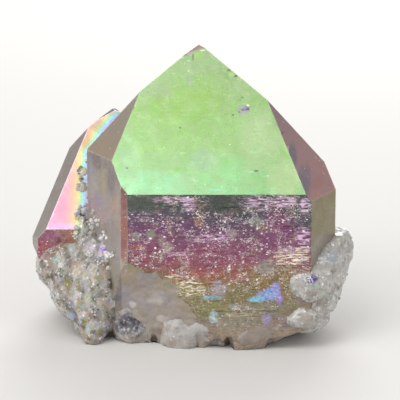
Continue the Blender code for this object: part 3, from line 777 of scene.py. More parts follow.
def striated_front(name):
    """The wide front side face: bands of film colour broken along the level growth ridges."""
    material, tree, where = finish_tree(name)
    bands = [
        (1.0, "#9B8975"), (4.8, "#938874"), (6.6, "#837A52"), (8.6, "#84783C"), (10.6, "#8C6A3A"),
        (12.2, "#975650"), (14.0, "#8A4660"), (16.6, "#7C4366"), (18.8, "#683F62"), (20.4, "#4D4058"),
        (21.4, "#404946"), (23.4, "#39443D"),
    ]
    colour = banded(tree, where, (0.04, 0.0, 1.0), bands, 3.6, 1.1)
    edge = ragged_edge(tree, where, 0.75, 0.8, (0.6, 1.0, 1.5))
    colour = spotted(tree, where, colour, front_spots, edge)
    colour = mottled(tree, where, colour, 1.9, 0.52, 0.66, 0.5, "#8C6650")
    colour = mottled(tree, where, colour, 1.0, 0.57, 0.70, 0.6, "#B4AA9C")
    colour = mottled(tree, where, colour, 1.5, 0.46, 0.32, 0.5, "#4E4250")
    colour = spotted(tree, where, colour, front_dark, edge)
    flat = add(tree, "VectorMath", {0: where, 1: (0.30, 0.6, 1.6)}, operation="MULTIPLY")
    colour = mottled(tree, flat, colour, 0.6, 0.58, 0.80, 0.5, "#B894A4", 6.0)
    colour = mottled(tree, flat, colour, 0.42, 0.46, 0.30, 0.6, "#44343E", 6.0)
    colour = mottled(tree, where, colour, 0.22, 0.62, 0.82, 0.5, "#C8B0B8", 2.0)
    colour = mottled(tree, where, colour, 0.20, 0.44, 0.28, 0.6, "#3C2C38", 2.0)
    beaded = {"Vector": where, "Scale": 1 / 0.26, "Detail": 3.0, "Roughness": 0.7}
    grain = add(tree, "TexNoise", beaded, out=0)
    grain = add(tree, "MapRange", {0: grain, 1: 0.38, 2: 0.56, 3: 0.15, 4: 1.0}, out=0)
    for spot in front_pearls:
        amount = add(tree, "Math", {0: patchy(tree, where, spot, edge), 1: grain}, operation="MULTIPLY")
        colour = add(tree, "Mix", {0: amount, 6: colour, 7: srgb(spot[2])}, out=2, data_type="RGBA")
    lively = 1.0
    for spot in front_calm:
        calm = patchy(tree, where, spot, edge)
        lively = add(tree, "Math", {0: lively, 1: calm}, operation="SUBTRACT", use_clamp=True)
    # Painted highlights: pink and pale gold stripes along the ledges that catch the light.
    pink_ledge_highlights = striped(tree, where, front_pink_highlights, edge, 0.20)
    colour = add(tree, "Mix", {0: pink_ledge_highlights, 6: colour, 7: srgb("#E0BCDA")}, out=2, data_type="RGBA")
    gold_ledge_highlights = striped(tree, where, front_gold_highlights, edge, 0.18)
    colour = add(tree, "Mix", {0: gold_ledge_highlights, 6: colour, 7: srgb("#FFF8D4")}, out=2, data_type="RGBA")
    height = add(tree, "SeparateXYZ", {0: where}, out=2)
    high = add(tree, "MapRange", {0: height, 1: 6.0, 2: 11.0, 3: 0.0, 4: 1.0}, out=0)
    high = add(tree, "Math", {0: high, 1: lively}, operation="MULTIPLY")
    # Painted highlights: pale broken lines on the rims of pits and hillocks.
    pit_rim_highlights = squiggles(tree, where, 0.62, 0.024, 2.0, 0.49, 0.56)
    pit_rim_highlights = add(tree, "Math", {0: pit_rim_highlights, 1: lively}, operation="MULTIPLY")
    colour = add(tree, "Mix", {0: pit_rim_highlights, 6: colour, 7: srgb("#E8D8D4")}, out=2, data_type="RGBA")
    tiny_rim_highlights = squiggles(tree, where, 0.34, 0.032, 1.6, 0.50, 0.57)
    tiny_rim_highlights = add(tree, "Math", {0: tiny_rim_highlights, 1: high}, operation="MULTIPLY")
    colour = add(tree, "Mix", {0: tiny_rim_highlights, 6: colour, 7: srgb("#F0E4E6")}, out=2, data_type="RGBA")
    # Painted glints of pale highlight, and dark specks of painted shade in the pits.
    for stretch, cell, share, size, code in (
        ((0.6, 0.8, 1.2), 0.34, 0.12, 0.36, "#F4E8EA"),
        ((0.9, 0.8, 1.1), 0.60, 0.10, 0.34, "#FFFDFB"),
        ((0.8, 0.8, 1.1), 0.50, 0.10, 0.28, "#32242E"),
    ):
        glint_and_shade_specks = glint_and_shade_mask(tree, where, stretch, cell, share, size)
        glint_and_shade_specks = add(tree, "Math", {0: glint_and_shade_specks, 1: high}, operation="MULTIPLY")
        colour = add(tree, "Mix", {0: glint_and_shade_specks, 6: colour, 7: srgb(code)}, out=2, data_type="RGBA")
    # Darker green towards the face's edges.
    rim_highlight_and_tint = add(tree, "Attribute", out="Fac", attribute_name="rim")
    rim_highlight_and_tint = add(tree, "MapRange", {0: rim_highlight_and_tint, 1: 0.3, 2: 1.0, 3: 0.0, 4: 0.45}, out=0)
    colour = add(tree, "Mix", {0: rim_highlight_and_tint, 6: colour, 7: srgb("#3E5C3C")}, out=2, data_type="RGBA")
    missing = add(tree, "Attribute", out="Fac", attribute_name="bare")
    milky = spotted(tree, where, milky_colour(tree, where), scar_spots, ragged_edge(tree, where, 0.6, 1.2))
    colour = add(tree, "Mix", {0: missing, 6: colour, 7: milky}, out=2, data_type="RGBA")
    ridged = {"Vector": flat, "Scale": 1 / 0.42, "Detail": 5.0, "Roughness": 0.65}
    lines = add(tree, "TexNoise", ridged, out=0)
    lines = add(tree, "Math", {0: pit_rim_highlights, 1: 0.35, 2: lines}, operation="MULTIPLY_ADD")
    covered = add(tree, "MapRange", {0: missing, 1: 0.0, 2: 0.6, 3: 1.0, 4: 0.15}, out=0)
    lines = add(tree, "Math", {0: lines, 1: covered}, operation="MULTIPLY")
    return finished(material, tree, where, colour, 0.15, (0.18, 0.4), 0.0, 0.0, 0.02, lines, 0.16)


# The film on the striated front face, purple through rose and rust to ochre.
striped_face = striated_front("film_over_quartz_striped")


def broken_finish(name):
    """Quartz where it broke: milky, waxy on the shell-shaped fracture, with light passing a little way in."""
    material, tree, where = finish_tree(name)
    colour = milky_colour(tree, where)
    # Painted glints: pale specks of highlight.
    glint_and_shade_specks = glint_and_shade_mask(tree, where, (1.0, 1.0, 1.0), 0.5, 0.08)
    colour = add(tree, "Mix", {0: glint_and_shade_specks, 6: colour, 7: srgb("#ECE8E0")}, out=2, data_type="RGBA")
    return finished(material, tree, where, colour, 0.0, (0.28, 0.55), 0.15, 0.3, 0.05)


# Bare milky quartz of the broken root and foot.
broken_quartz = broken_finish("quartz_broken_milky")

# The main crystal: the piece
# One net over all its faces, each with its finish, and hollows bitten out of the rim of its root.
# It is quartz throughout, grown together with the side crystal, the druse and the crust.
# Each bite is a centre and half sizes.
BITES = (
    ((-12.3, -14.0, -0.2), (1.3, 5.0, 2.0)),
    ((-5.7, -15.4, 0.3), (0.9, 4.0, 2.3)),
    ((3.3, -16.8, -0.5), (2.4, 3.4, 2.3)),
    ((5.2, -16.8, 0.1), (1.0, 3.4, 2.2)),
    ((12.3, -17.2, -0.4), (2.2, 4.6, 2.3)),
    ((19.7, -7.0, -0.8), (2.6, 3.0, 2.4)),
    ((13.1, 10.4, -0.4), (2.4, 3.0, 2.2)),
    ((4.5, 15.6, -0.4), (1.6, 3.4, 2.2)),
    ((-5.1, 14.4, -0.4), (1.5, 3.2, 2.2)),
    ((-18.5, 9.2, -0.6), (2.2, 2.6, 2.4)),
)


def bitten(points):
    """Pushes what lies in a bite out to the bite's ragged wall, and nothing goes below the flat foot."""
    moved = np.array(points, dtype=float)
    for centre, half in BITES:
        apart = (moved - centre) / half
        near = np.linalg.norm(apart, axis=1)
        for i in np.flatnonzero(near < 1.35):
            wall = 1.0 + 0.20 * wander(moved[i], 1.5, 4.0) + 0.10 * wander(moved[i], 0.5, 8.0)
            if 1e-6 < near[i] < wall:
                moved[i] = centre + apart[i] * half * wall / near[i]
    moved[:, 2] = np.maximum(moved[:, 2], 0.0)
    return moved


def piece_of(name, points, triangles, finishes, slots=None, smooth_until=None, marks=None):
    """A piece of the specimen from its points in millimetres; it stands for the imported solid."""
    mesh = bpy.data.meshes.new(name)
    mesh.from_pydata((np.asarray(points) * MM).tolist(), [], [list(map(int, tri)) for tri in triangles])
    for finish in finishes:
        mesh.materials.append(finish)
    if slots is not None:
        mesh.polygons.foreach_set("material_index", np.asarray(slots, dtype=np.int32))
    for label, values in (marks or {}).items():
        layer = mesh.attributes.new(label, "FLOAT", "POINT")
        layer.data.foreach_set("value", np.asarray(values, dtype=np.float32))
    if smooth_until is not None:
        mesh.shade_smooth()
        mesh.set_sharp_from_angle(angle=math.radians(smooth_until))
    mesh.update()
    piece = bpy.data.objects.new(name, mesh)
    bpy.context.scene.collection.objects.link(piece)
    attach(piece, "root")
    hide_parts("quartz_cluster")
    return piece


MAIN_FINISHES = {
    "side_0": striped_face,
    "point_0": green_face,
    "point_60": rose_face,
    "point_300": mauve_face,
    "side_60": dun_face,
    "side_300": grey_side,
    "edge_face": rust_edge,
    "chip": green_face,
    "root_break": broken_quartz,
    "foot": broken_quartz,
}
main_finishes = list(dict.fromkeys([*MAIN_FINISHES.values(), back_faces]))
main_slots = [main_finishes.index(MAIN_FINISHES.get(name, back_faces)) for name in skin]
main_marks = {"bare": bare, "rim": 1.0 - smooth(off_edge, 0.0, 0.3)}
piece_of("main_crystal", bitten(shaped), triangles, main_finishes, main_slots, 32.0, main_marks)

# The side crystal
# It grew parallel to the main one, behind its left edge, and broke off its root along a slope.
# Its point face runs through the film's whole range of colours from left to right.
SIDE_AXIS = Vector((-12.003, 6.918, 0.0))
SIDE_APEX = 31.5
SIDE_SIDES = {FRONT: 12.55, FRONT_RIGHT: 9.0, BACK_RIGHT: 9.5, BACK: 7.6, BACK_LEFT: 4.7, FRONT_LEFT: 15.9}
SIDE_RISES = {FRONT_RIGHT: 3.2, BACK: 3.0, FRONT_LEFT: 2.8}
SIDE_CHIPS = (
    ((-12.003, 6.918, 31.0), (0.15, -0.10, 0.98)),
    ((-13.503, 6.018, 30.2), (-0.34, -0.25, 0.91)),
)
SIDE_ROOT_BREAK = ((-23.603, -0.382, 11.8), (-0.90, -0.06, -0.43))
SIDE_STEPS = {
    "side_0": (0.16, 0.14),
    "chip": (0.14, 0.14),
    "root_break": (0.3, 0.3),
    "foot": (1.2, 1.2),
    "others": (0.5, 0.4),
}
side_faces = growth_faces(SIDE_AXIS, SIDE_APEX, SIDE_SIDES, SIDE_RISES)
side_shape = list(side_faces)
side_shape += [("chip", at, facing) for at, facing in SIDE_CHIPS]
side_shape.append(("root_break", *SIDE_ROOT_BREAK))
side_planes = {name: (at, facing) for name, at, facing in side_faces}
solid, names = cleaved(side_shape)
side_net, side_off, side_home, side_triangles, side_skin = fine_net(solid, names, SIDE_STEPS)
side_normals = np.array([face.normal[:] for face in solid.faces])
side_names = np.array(names)
solid.free()
side_shaped, side_bare = side_net.copy(), np.zeros(len(side_net))
side_fade = smooth(side_off, 0.0, 0.22)
for i in np.flatnonzero(side_home >= 0):
    name, here = side_names[side_home[i]], side_net[i]
    if name in ("root_break", "chip"):
        lift = broken_relief(here, 0.3 if name == "root_break" else 0.1) - 0.08
        side_bare[i] = 1.0
    elif name == "side_0":
        lift = 0.10 * wander(here, 0.9, 3.0) + 0.07 * wander(here * (0.4, 1.0, 1.5), 0.4, 6.0)
    elif name.startswith("point"):
        lift = 0.02 * wander(here, 2.0, 4.0)
    else:
        lift = 0.05 * wander(here * (0.5, 0.5, 1.6), 1.0, 2.0)
    side_shaped[i] += side_normals[side_home[i]] * lift * side_fade[i]

side_top = side_planes["point_0"]


def rainbow_finish(name):
    """The side crystal's point face, where the film thins away from the seam through all its colours."""
    material, tree, where = finish_tree(name)
    drift = add(tree, "TexNoise", {"Vector": where, "Scale": 1 / 2.0, "Detail": 4.0}, out=0)
    drift = add(tree, "Math", {0: drift, 1: 1.0, 2: -0.5}, operation="MULTIPLY_ADD")
    low_seam, bend, high_seam = seen(83, 231, side_top), seen(88, 151, side_top), seen(121, 110, side_top)
    away = []
    for start, end in ((low_seam, bend), (bend, high_seam)):
        run = (end - start).normalized()
        across = side_top[1].cross(run).normalized() * (-1.0 if side_top[1].cross(run).x > 0 else 1.0)
        reach = add(tree, "VectorMath", {0: where, 1: start}, operation="SUBTRACT")
        away.append(add(tree, "VectorMath", {0: reach, 1: across}, operation="DOT_PRODUCT", out="Value"))
    away = add(tree, "Math", {0: away[0], 1: away[1]}, operation="MAXIMUM")
    away = add(tree, "Math", {0: away, 1: drift}, operation="ADD")
    bands = [
        (0.0, "#A0ACDC"), (0.3, "#98D0D8"), (0.65, "#9CD8B0"), (1.0, "#D0D088"), (1.4, "#E4BC84"),
        (2.0, "#EAA894"), (2.8, "#EC9EAC"), (5.0, "#EC9CC0"), (7.0, "#EA98C8"),
    ]
    share = add(tree, "MapRange", {0: away, 1: 0.0, 2: 7.0, 3: 0.0, 4: 1.0}, out=0)
    colour = add(tree, "ValToRGB", {0: share}, stops=[(at / 7.0, code) for at, code in bands], out=0)
    spots = patches(
        side_top,
        (62, 227, 20, 4, "#F0AEDC", 0.7), (114, 112, 10, 4, "#A4B4A4", 0.7),
        (96, 124, 9, 9, "#A8A884", 0.5), (84, 140, 8, 11, "#C49C78", 0.5),
        (60, 205, 9, 12, "#E094AC", 0.5), (69, 178, 3, 6, "#E8A4A0", 0.6),
        (80, 158, 3, 6, "#F0C878", 0.7),
    )
    colour = spotted(tree, where, colour, spots, ragged_edge(tree, where, 0.4, 0.8))
    colour = mottled(tree, where, colour, 0.9, 0.54, 0.74, 0.35, "#ECCCCC")
    colour = mottled(tree, where, colour, 0.7, 0.46, 0.32, 0.4, "#B08890")
    # A painted pale pink highlight along the face's rims.
    rim_highlight_and_tint = add(tree, "Attribute", out="Fac", attribute_name="rim")
    rim_highlight_and_tint = add(tree, "MapRange", {0: rim_highlight_and_tint, 1: 0.4, 2: 1.0, 3: 0.0, 4: 0.6}, out=0)
    colour = add(tree, "Mix", {0: rim_highlight_and_tint, 6: colour, 7: srgb("#F8E0E8")}, out=2, data_type="RGBA")
    return finished(material, tree, where, colour, 0.2, (0.22, 0.36), 0.0, 0.0)


# The side crystal's point face: lavender and mint at the seam, then yellow, peach, salmon and pink.
rainbow_face = rainbow_finish("film_over_quartz_rainbow")
# The strip of side face below it, speckled purple to orange-brown.
side_front = side_planes["side_0"]
STRIP_CLOUDS = (
    ((1.0, 1.0, 1.0), 0.5, 0.44, 0.32, 0.8, "#54303A"),
    ((1.0, 1.0, 1.0), 0.4, 0.56, 0.70, 0.7, "#C8B49C"),
)
side_strip = film_finish(
    "film_over_quartz_plum", (1.0, 0.0, 0.0),
    [(-22.0, "#8A5068"), (-19.5, "#8E5A5E"), (-17.5, "#A06C4C"), (-15.0, "#A07C54")],
    wander_by=0.5, spots=patches(
        side_front,
        (52, 236, 8, 5, "#90587C", 0.8), (42, 246, 8, 6, "#A04C54", 0.7), (78, 240, 6, 6, "#A07444", 0.8),
        (62, 247, 5, 4, "#B0A478", 0.6), (58, 240, 3, 4, "#6A3A44", 0.7),
    ),
    metal=0.15, rough=(0.24, 0.4), clear=0.0, mottle="#A88C7C", share=0.3, clouds=STRIP_CLOUDS,
)
# The narrow faces on its left, smoky grey quartz with hardly any film.
sliver = film_finish(
    "quartz_side_smoky", UP,
    [(8.0, "#AAA29A"), (14.0, "#A8A098"), (20.0, "#A0968E"), (30.0, "#A0948E")],
    wander_by=0.9, spots=(), metal=0.12, rough=(0.2, 0.34), clear=0.35, mottle="#B4ACA4", share=0.03,
)
SIDE_FINISHES = {
    "point_0": rainbow_face,
    "side_0": side_strip,
    "side_300": sliver,
    "point_300": sliver,
    "chip": sliver,
    "root_break": broken_quartz,
    "foot": broken_quartz,
}
side_finishes = list(dict.fromkeys([*SIDE_FINISHES.values(), back_faces]))
side_slots = [side_finishes.index(SIDE_FINISHES.get(name, back_faces)) for name in side_skin]
side_marks = {"bare": side_bare, "rim": 1.0 - smooth(side_off, 0.0, 0.3)}
piece_of("side_crystal", bitten(side_shaped), side_triangles, side_finishes, side_slots, 32.0, side_marks)

# The foot: broken quartz lobes at the front
# Knobs of milky quartz under the wide face, where the specimen broke from the rock, grown into one rim.
# The left one carries dark grains of the rock in its skin.
# Each lump is a centre, half sizes and how knobbly it is.
FRONT_LOBES = (
    ((-8.6, -9.2, 1.9), (3.4, 3.6, 3.1), 0.16),
    ((-1.6, -11.8, 1.5), (3.2, 3.2, 3.4), 0.16),
    ((8.3, -13.0, 1.5), (3.1, 2.8, 2.6), 0.14),
    ((-4.6, -9.6, 4.2), (5.6, 2.8, 3.8), 0.10),
    ((-1.0, -11.4, 3.2), (4.2, 2.7, 3.6), 0.10),
    ((-9.2, -9.2, 4.0), (3.0, 2.8, 3.6), 0.10),
    ((3.6, -12.4, 3.2), (6.0, 2.8, 2.2), 0.10),
    ((9.4, -13.0, 2.4), (4.4, 2.7, 2.2), 0.10),
)


def grown_together(lumps, voxel, rounds, frost, seed):
    """Knobbly lumps flowed into one body, frosted, bitten and cut flat, as points and triangles."""
    bm = bmesh.new()
    for order, (centre, half, roughness) in enumerate(lumps):
        made = bmesh.ops.create_icosphere(bm, subdivisions=4, radius=1.0)["verts"]
        for vert in made:
            ball = np.array(vert.co[:])
            broad, fine = wander(ball, 0.55, seed + order), wander(ball, 0.2, seed - order)
            swell = 1.03 + roughness * broad + 0.4 * roughness * fine
            vert.co = Vector(np.array(centre) + ball * half * swell)
    rough = bpy.data.meshes.new("rough")
    bm.to_mesh(rough)
    bm.free()
    holder = bpy.data.objects.new("rough", rough)
    bpy.context.scene.collection.objects.link(holder)
    flow = holder.modifiers.new("flow", "REMESH")
    flow.mode = "VOXEL"
    flow.voxel_size = voxel
    soften = holder.modifiers.new("soften", "SMOOTH")
    soften.iterations = rounds
    holder.modifiers.new("split", "TRIANGULATE")
    body = holder.evaluated_get(bpy.context.evaluated_depsgraph_get()).to_mesh()
    points = np.array([vert.co[:] for vert in body.vertices])
    outs = np.array([vert.normal[:] for vert in body.vertices])
    triangles = np.array([face.vertices[:] for face in body.polygons])
    holder.to_mesh_clear()
    bpy.data.objects.remove(holder)
    bpy.data.meshes.remove(rough)
    lift = []
    for p in points:
        broad = wander(p, 1.6, seed) + 0.5 * abs(wander(p, 0.8, seed + 3.0))
        lift.append(broad + 0.3 * wander(p, 0.4, seed) + 0.15 * wander(p, 0.2, seed))
    return bitten(points + outs * (frost * np.array(lift))[:, None]), triangles


def lobe_finish(name):
    """Milky quartz with dark grains held in its skin at the lower left."""
    material, tree, where = finish_tree(name)
    colour = mottled(tree, where, milky_colour(tree, where), 1.6, 0.36, 0.56, 0.85, "#BEBCB8")
    warm = ((Vector((10.0, -14.0, 2.0)), (6.5, 8.0, 6.0), "#93877A", 0.9),)
    colour = spotted(tree, where, colour, warm, ragged_edge(tree, where, 0.5, 1.5))
    grainy = {"Vector": where, "Scale": 1 / 0.8, "Detail": 5.0, "Roughness": 0.7}
    grains = add(tree, "TexNoise", grainy, out=0)
    stops = [(0.40, "#2A262E"), (0.49, "#504C54"), (0.56, "#86828A"), (0.66, "#CCC8C8")]
    grains = add(tree, "ValToRGB", {0: grains}, stops=stops, out=0)
    knob = (Vector((-9.2, -12.2, 2.9)), (2.9, 6.0, 2.0), None, 0.95)
    held = patchy(tree, where, knob, ragged_edge(tree, where, 0.6, 1.0))
    colour = add(tree, "Mix", {0: held, 6: colour, 7: grains}, out=2, data_type="RGBA")
    # Painted glints: pale specks of highlight.
    glint_and_shade_specks = glint_and_shade_mask(tree, where, (1.0, 1.0, 1.0), 0.45, 0.08, 0.3)
    colour = add(tree, "Mix", {0: glint_and_shade_specks, 6: colour, 7: srgb("#F0ECE6")}, out=2, data_type="RGBA")
    return finished(material, tree, where, colour, 0.0, (0.25, 0.5), 0.12, 0.3, 0.05)


# Waxy milky quartz, with dark grains in the skin of the left knob.
specked_quartz = lobe_finish("quartz_broken_specked")
lobe_points, lobe_triangles = grown_together(FRONT_LOBES, voxel=0.17, rounds=60, frost=0.2, seed=2.0)
piece_of("front_lobes", lobe_points, lobe_triangles, [specked_quartz], smooth_until=60.0)

# The druse on the left
# A carpet of small glassy crystals that grew over lumps of quartz, each with a blunt six-sided point.
# The film is thin on them, so it shows as pastel glints on grey-white quartz.
LEFT_LUMPS = (
    ((-18.9, -3.6, 9.6), (4.6, 4.4, 4.2), 0.04),
    ((-16.3, -5.8, 6.8), (5.0, 4.9, 5.4), 0.04),
    ((-13.6, -8.8, 7.8), (2.9, 4.2, 5.4), 0.04),
    ((-15.6, -7.2, 9.0), (3.8, 4.2, 4.4), 0.04),
    ((-13.0, -9.2, 10.2), (1.7, 2.2, 4.8), 0.04),
    ((-12.7, -8.1, 6.2), (3.0, 3.9, 6.0), 0.04),
    ((-14.8, -7.2, 12.0), (2.4, 2.4, 3.4), 0.05),
    ((-15.2, -6.2, 15.4), (1.25, 1.3, 2.0), 0.12),
    ((-15.9, -6.0, 13.4), (1.5, 1.5, 2.4), 0.10),
    ((-14.2, -7.4, 14.2), (1.1, 1.2, 1.6), 0.12),
    ((-14.8, -8.2, 3.6), (3.3, 4.4, 3.9), 0.06),
    ((-16.0, -7.6, 5.4), (3.6, 4.2, 4.2), 0.04),
    ((-14.6, -11.2, 1.4), (1.8, 2.4, 2.3), 0.08),
    ((-14.2, -10.0, 3.4), (2.4, 2.8, 3.4), 0.06),
    ((-17.9, 3.2, 6.4), (3.8, 5.2, 5.4), 0.10),
    ((-18.4, -0.6, 7.8), (4.0, 4.4, 5.2), 0.08),
    ((-17.0, 6.4, 4.6), (3.6, 4.4, 4.6), 0.12),
)
# The lumps of the crust and of the back stand here too, because no crystal is grown inside any lump.
RIGHT_LUMPS = (
    ((16.8, -13.4, 9.8), (3.7, 2.9, 2.9), 0.24),
    ((16.4, -12.9, 4.6), (3.4, 3.4, 2.4), 0.24),
    ((19.0, -11.6, 12.0), (2.3, 2.8, 2.8), 0.22),
    ((18.7, -11.8, 7.0), (2.6, 3.0, 2.8), 0.22),
    ((21.0, -7.2, 13.2), (2.7, 3.6, 3.0), 0.20),
    ((20.3, -8.0, 11.2), (2.7, 4.0, 4.4), 0.14),
    ((18.4, -5.0, 9.0), (3.2, 4.6, 5.2), 0.16),
    ((19.8, -10.0, 11.6), (2.4, 3.2, 3.4), 0.14),
    ((19.2, -8.6, 9.0), (3.0, 4.6, 4.4), 0.20),
    ((17.1, -8.8, 4.8), (2.6, 4.4, 3.6), 0.20),
    ((17.9, -1.6, 8.0), (3.4, 4.4, 5.6), 0.22),
)
BACK_LUMPS = (
    ((14.3, 3.6, 3.6), (4.4, 5.2, 4.4), 0.20),
    ((12.0, 7.4, 3.2), (4.0, 4.2, 3.8), 0.18),
    ((8.5, 10.2, 3.4), (4.6, 4.2, 4.2), 0.20),
    ((4.4, 11.6, 2.8), (4.4, 3.4, 3.7), 0.18),
    ((0.3, 12.2, 3.0), (5.0, 3.2, 4.2), 0.20),
    ((-4.6, 12.0, 3.0), (4.6, 3.2, 3.9), 0.18),
    ((-9.5, 11.4, 4.0), (5.4, 3.8, 4.8), 0.20),
    ((-14.5, 8.0, 3.6), (4.2, 4.8, 4.4), 0.20),
)
ALL_LUMPS = FRONT_LOBES + LEFT_LUMPS + RIGHT_LUMPS + BACK_LUMPS
POINT_RISE = math.tan(POINT_LEAN) * math.cos(math.radians(30)) / 2


def within(points, faces, margin):
    """True for each point that lies inside a big crystal, by at least the margin."""
    held = np.ones(len(points), dtype=bool)
    for _, at, facing in faces:
        held &= (points - np.array(at)) @ np.array(Vector(facing).normalized()) < -margin
    return held


def open_air(points):
    """True for each point that isn't buried in a big crystal, in another lump or in the flat foot."""
    buried = within(points, main_shape, 0.15) | within(points, side_shape, 0.15) | (points[:, 2] < 0.35)
    for centre, half, _ in ALL_LUMPS:
        buried |= np.linalg.norm((points - centre) / half, axis=1) < 0.88
    return ~buried


def sown(points, triangles, count, dice):
    """Places on a surface, spread by its area, with the way out at each."""
    a, b, c = (points[triangles[:, k]] for k in range(3))
    cross = np.cross(b - a, c - a)
    area = np.linalg.norm(cross, axis=1)
    picked = dice.choice(len(triangles), size=count, p=area / area.sum())
    s, t = dice.random((2, count, 1))
    s, t = np.where(s + t > 1, 1 - s, s), np.where(s + t > 1, 1 - t, t)
    return a[picked] + s * (b - a)[picked] + t * (c - a)[picked], cross[picked] / area[picked, None]


def bristling(roots, ways, widths, lengths, dice):
    """Six-sided crystals with blunt points: points, triangles, and one chance number for each point."""
    ring = np.arange(6) * math.pi / 3
    around = [(k, (k + 1) % 6) for k in range(6)]
    sides = [[k, after, 6 + k] for k, after in around] + [[after, 6 + after, 6 + k] for k, after in around]
    tops = [[6 + k, 6 + after, 12] for k, after in around]
    under = [[0, k + 1, k] for k in range(1, 5)]
    one = np.array(sides + tops + under)
    points, triangles, lots = [], [], []
    for order, (root, way, width, length) in enumerate(zip(roots, ways, widths, lengths)):
        way = way / np.linalg.norm(way)
        side = np.cross(way, (0.31, 0.9, 0.3))
        side /= np.linalg.norm(side)
        other = np.cross(way, side)
        spin, flat = dice.uniform(0, math.pi / 3), dice.uniform(0.75, 1.2)
        unequal = dice.uniform(0.0, 0.22, 3)
        turned = ring + spin
        circle = (np.cos(turned)[:, None] * side * flat + np.sin(turned)[:, None] * other) * width / 2
        shoulder = length - POINT_RISE * width * (1.0 + 0.5 * unequal[np.arange(6) % 3])
        shoulder = np.maximum(shoulder, 0.2 * length) + 0.12 * width * (np.arange(6) % 2)
        lean = (side * dice.uniform(-0.12, 0.12) + other * dice.uniform(-0.12, 0.12)) * width
        upper = root + circle + way * shoulder[:, None]
        points += [root + circle * 0.9, upper, (root + way * length + lean)[None, :]]
        triangles.append(one + 13 * order)
        lots += [dice.random()] * 13
    return np.concatenate(points), np.concatenate(triangles), np.array(lots)


def overgrown(name, lumps, voxel, rounds, frost, growths, finish, seed):
    """Lumps with small crystals grown over their open sides, as one piece."""
    dice = np.random.default_rng(seed)
    points, triangles = grown_together(lumps, voxel, rounds, frost, float(seed))
    all_points, all_triangles, lots = [points], [triangles], [np.full(len(points), 0.5)]
    rounded = [np.ones(len(triangles), dtype=bool)]
    filled = len(points)
    for count, widths, rises, lean in growths:
        places, outs = sown(points, triangles, count, dice)
        free = open_air(places) & (outs[:, 2] > -0.8)
        places, outs = places[free], outs[free]
        ways = outs + dice.normal(0.0, lean, outs.shape)
        ways /= np.linalg.norm(ways, axis=1)[:, None]
        spread = dice.random(len(places)) ** 1.8
        wide = widths[0] + (widths[1] - widths[0]) * spread
        rise = dice.uniform(rises[0], rises[1], len(places)) * wide
        rooted = 0.7 * wide
        made, faces, lot = bristling(places - ways * rooted[:, None], ways, wide, rise + rooted, dice)
        made[:, 2] = np.maximum(made[:, 2], 0.0)
        all_points.append(made)
        all_triangles.append(faces + filled)
        lots.append(lot)
        rounded.append(np.zeros(len(faces), dtype=bool))
        filled += len(made)
    marks = {"lot": np.concatenate(lots)}
    piece = piece_of(name, np.concatenate(all_points), np.concatenate(all_triangles), [finish], marks=marks)
    piece.data.polygons.foreach_set("use_smooth", np.concatenate(rounded))


def facets(tree, where, cell):
    """One chance number for each facet-sized cell, and thin lines where the cells meet, for painted
    highlights along the edges.
    """
    bent = add(tree, "TexNoise", {"Vector": where, "Scale": 0.9 / cell, "Detail": 2.0}, out="Color")
    bent = add(tree, "VectorMath", {0: bent, "Scale": 0.5 * cell}, operation="SCALE")
    bent = add(tree, "VectorMath", {0: bent, 1: where}, operation="ADD")
    placed = {"Vector": bent, "Scale": 1 / cell, "Randomness": 1.0}
    lot = add(tree, "SeparateColor", {0: add(tree, "TexVoronoi", placed, out="Color")}, out=0)
    meet = add(tree, "TexVoronoi", placed, out="Distance", feature="DISTANCE_TO_EDGE")
    return lot, add(tree, "MapRange", {0: meet, 1: 0.09, 2: 0.02, 3: 0.0, 4: 1.0}, out=0)


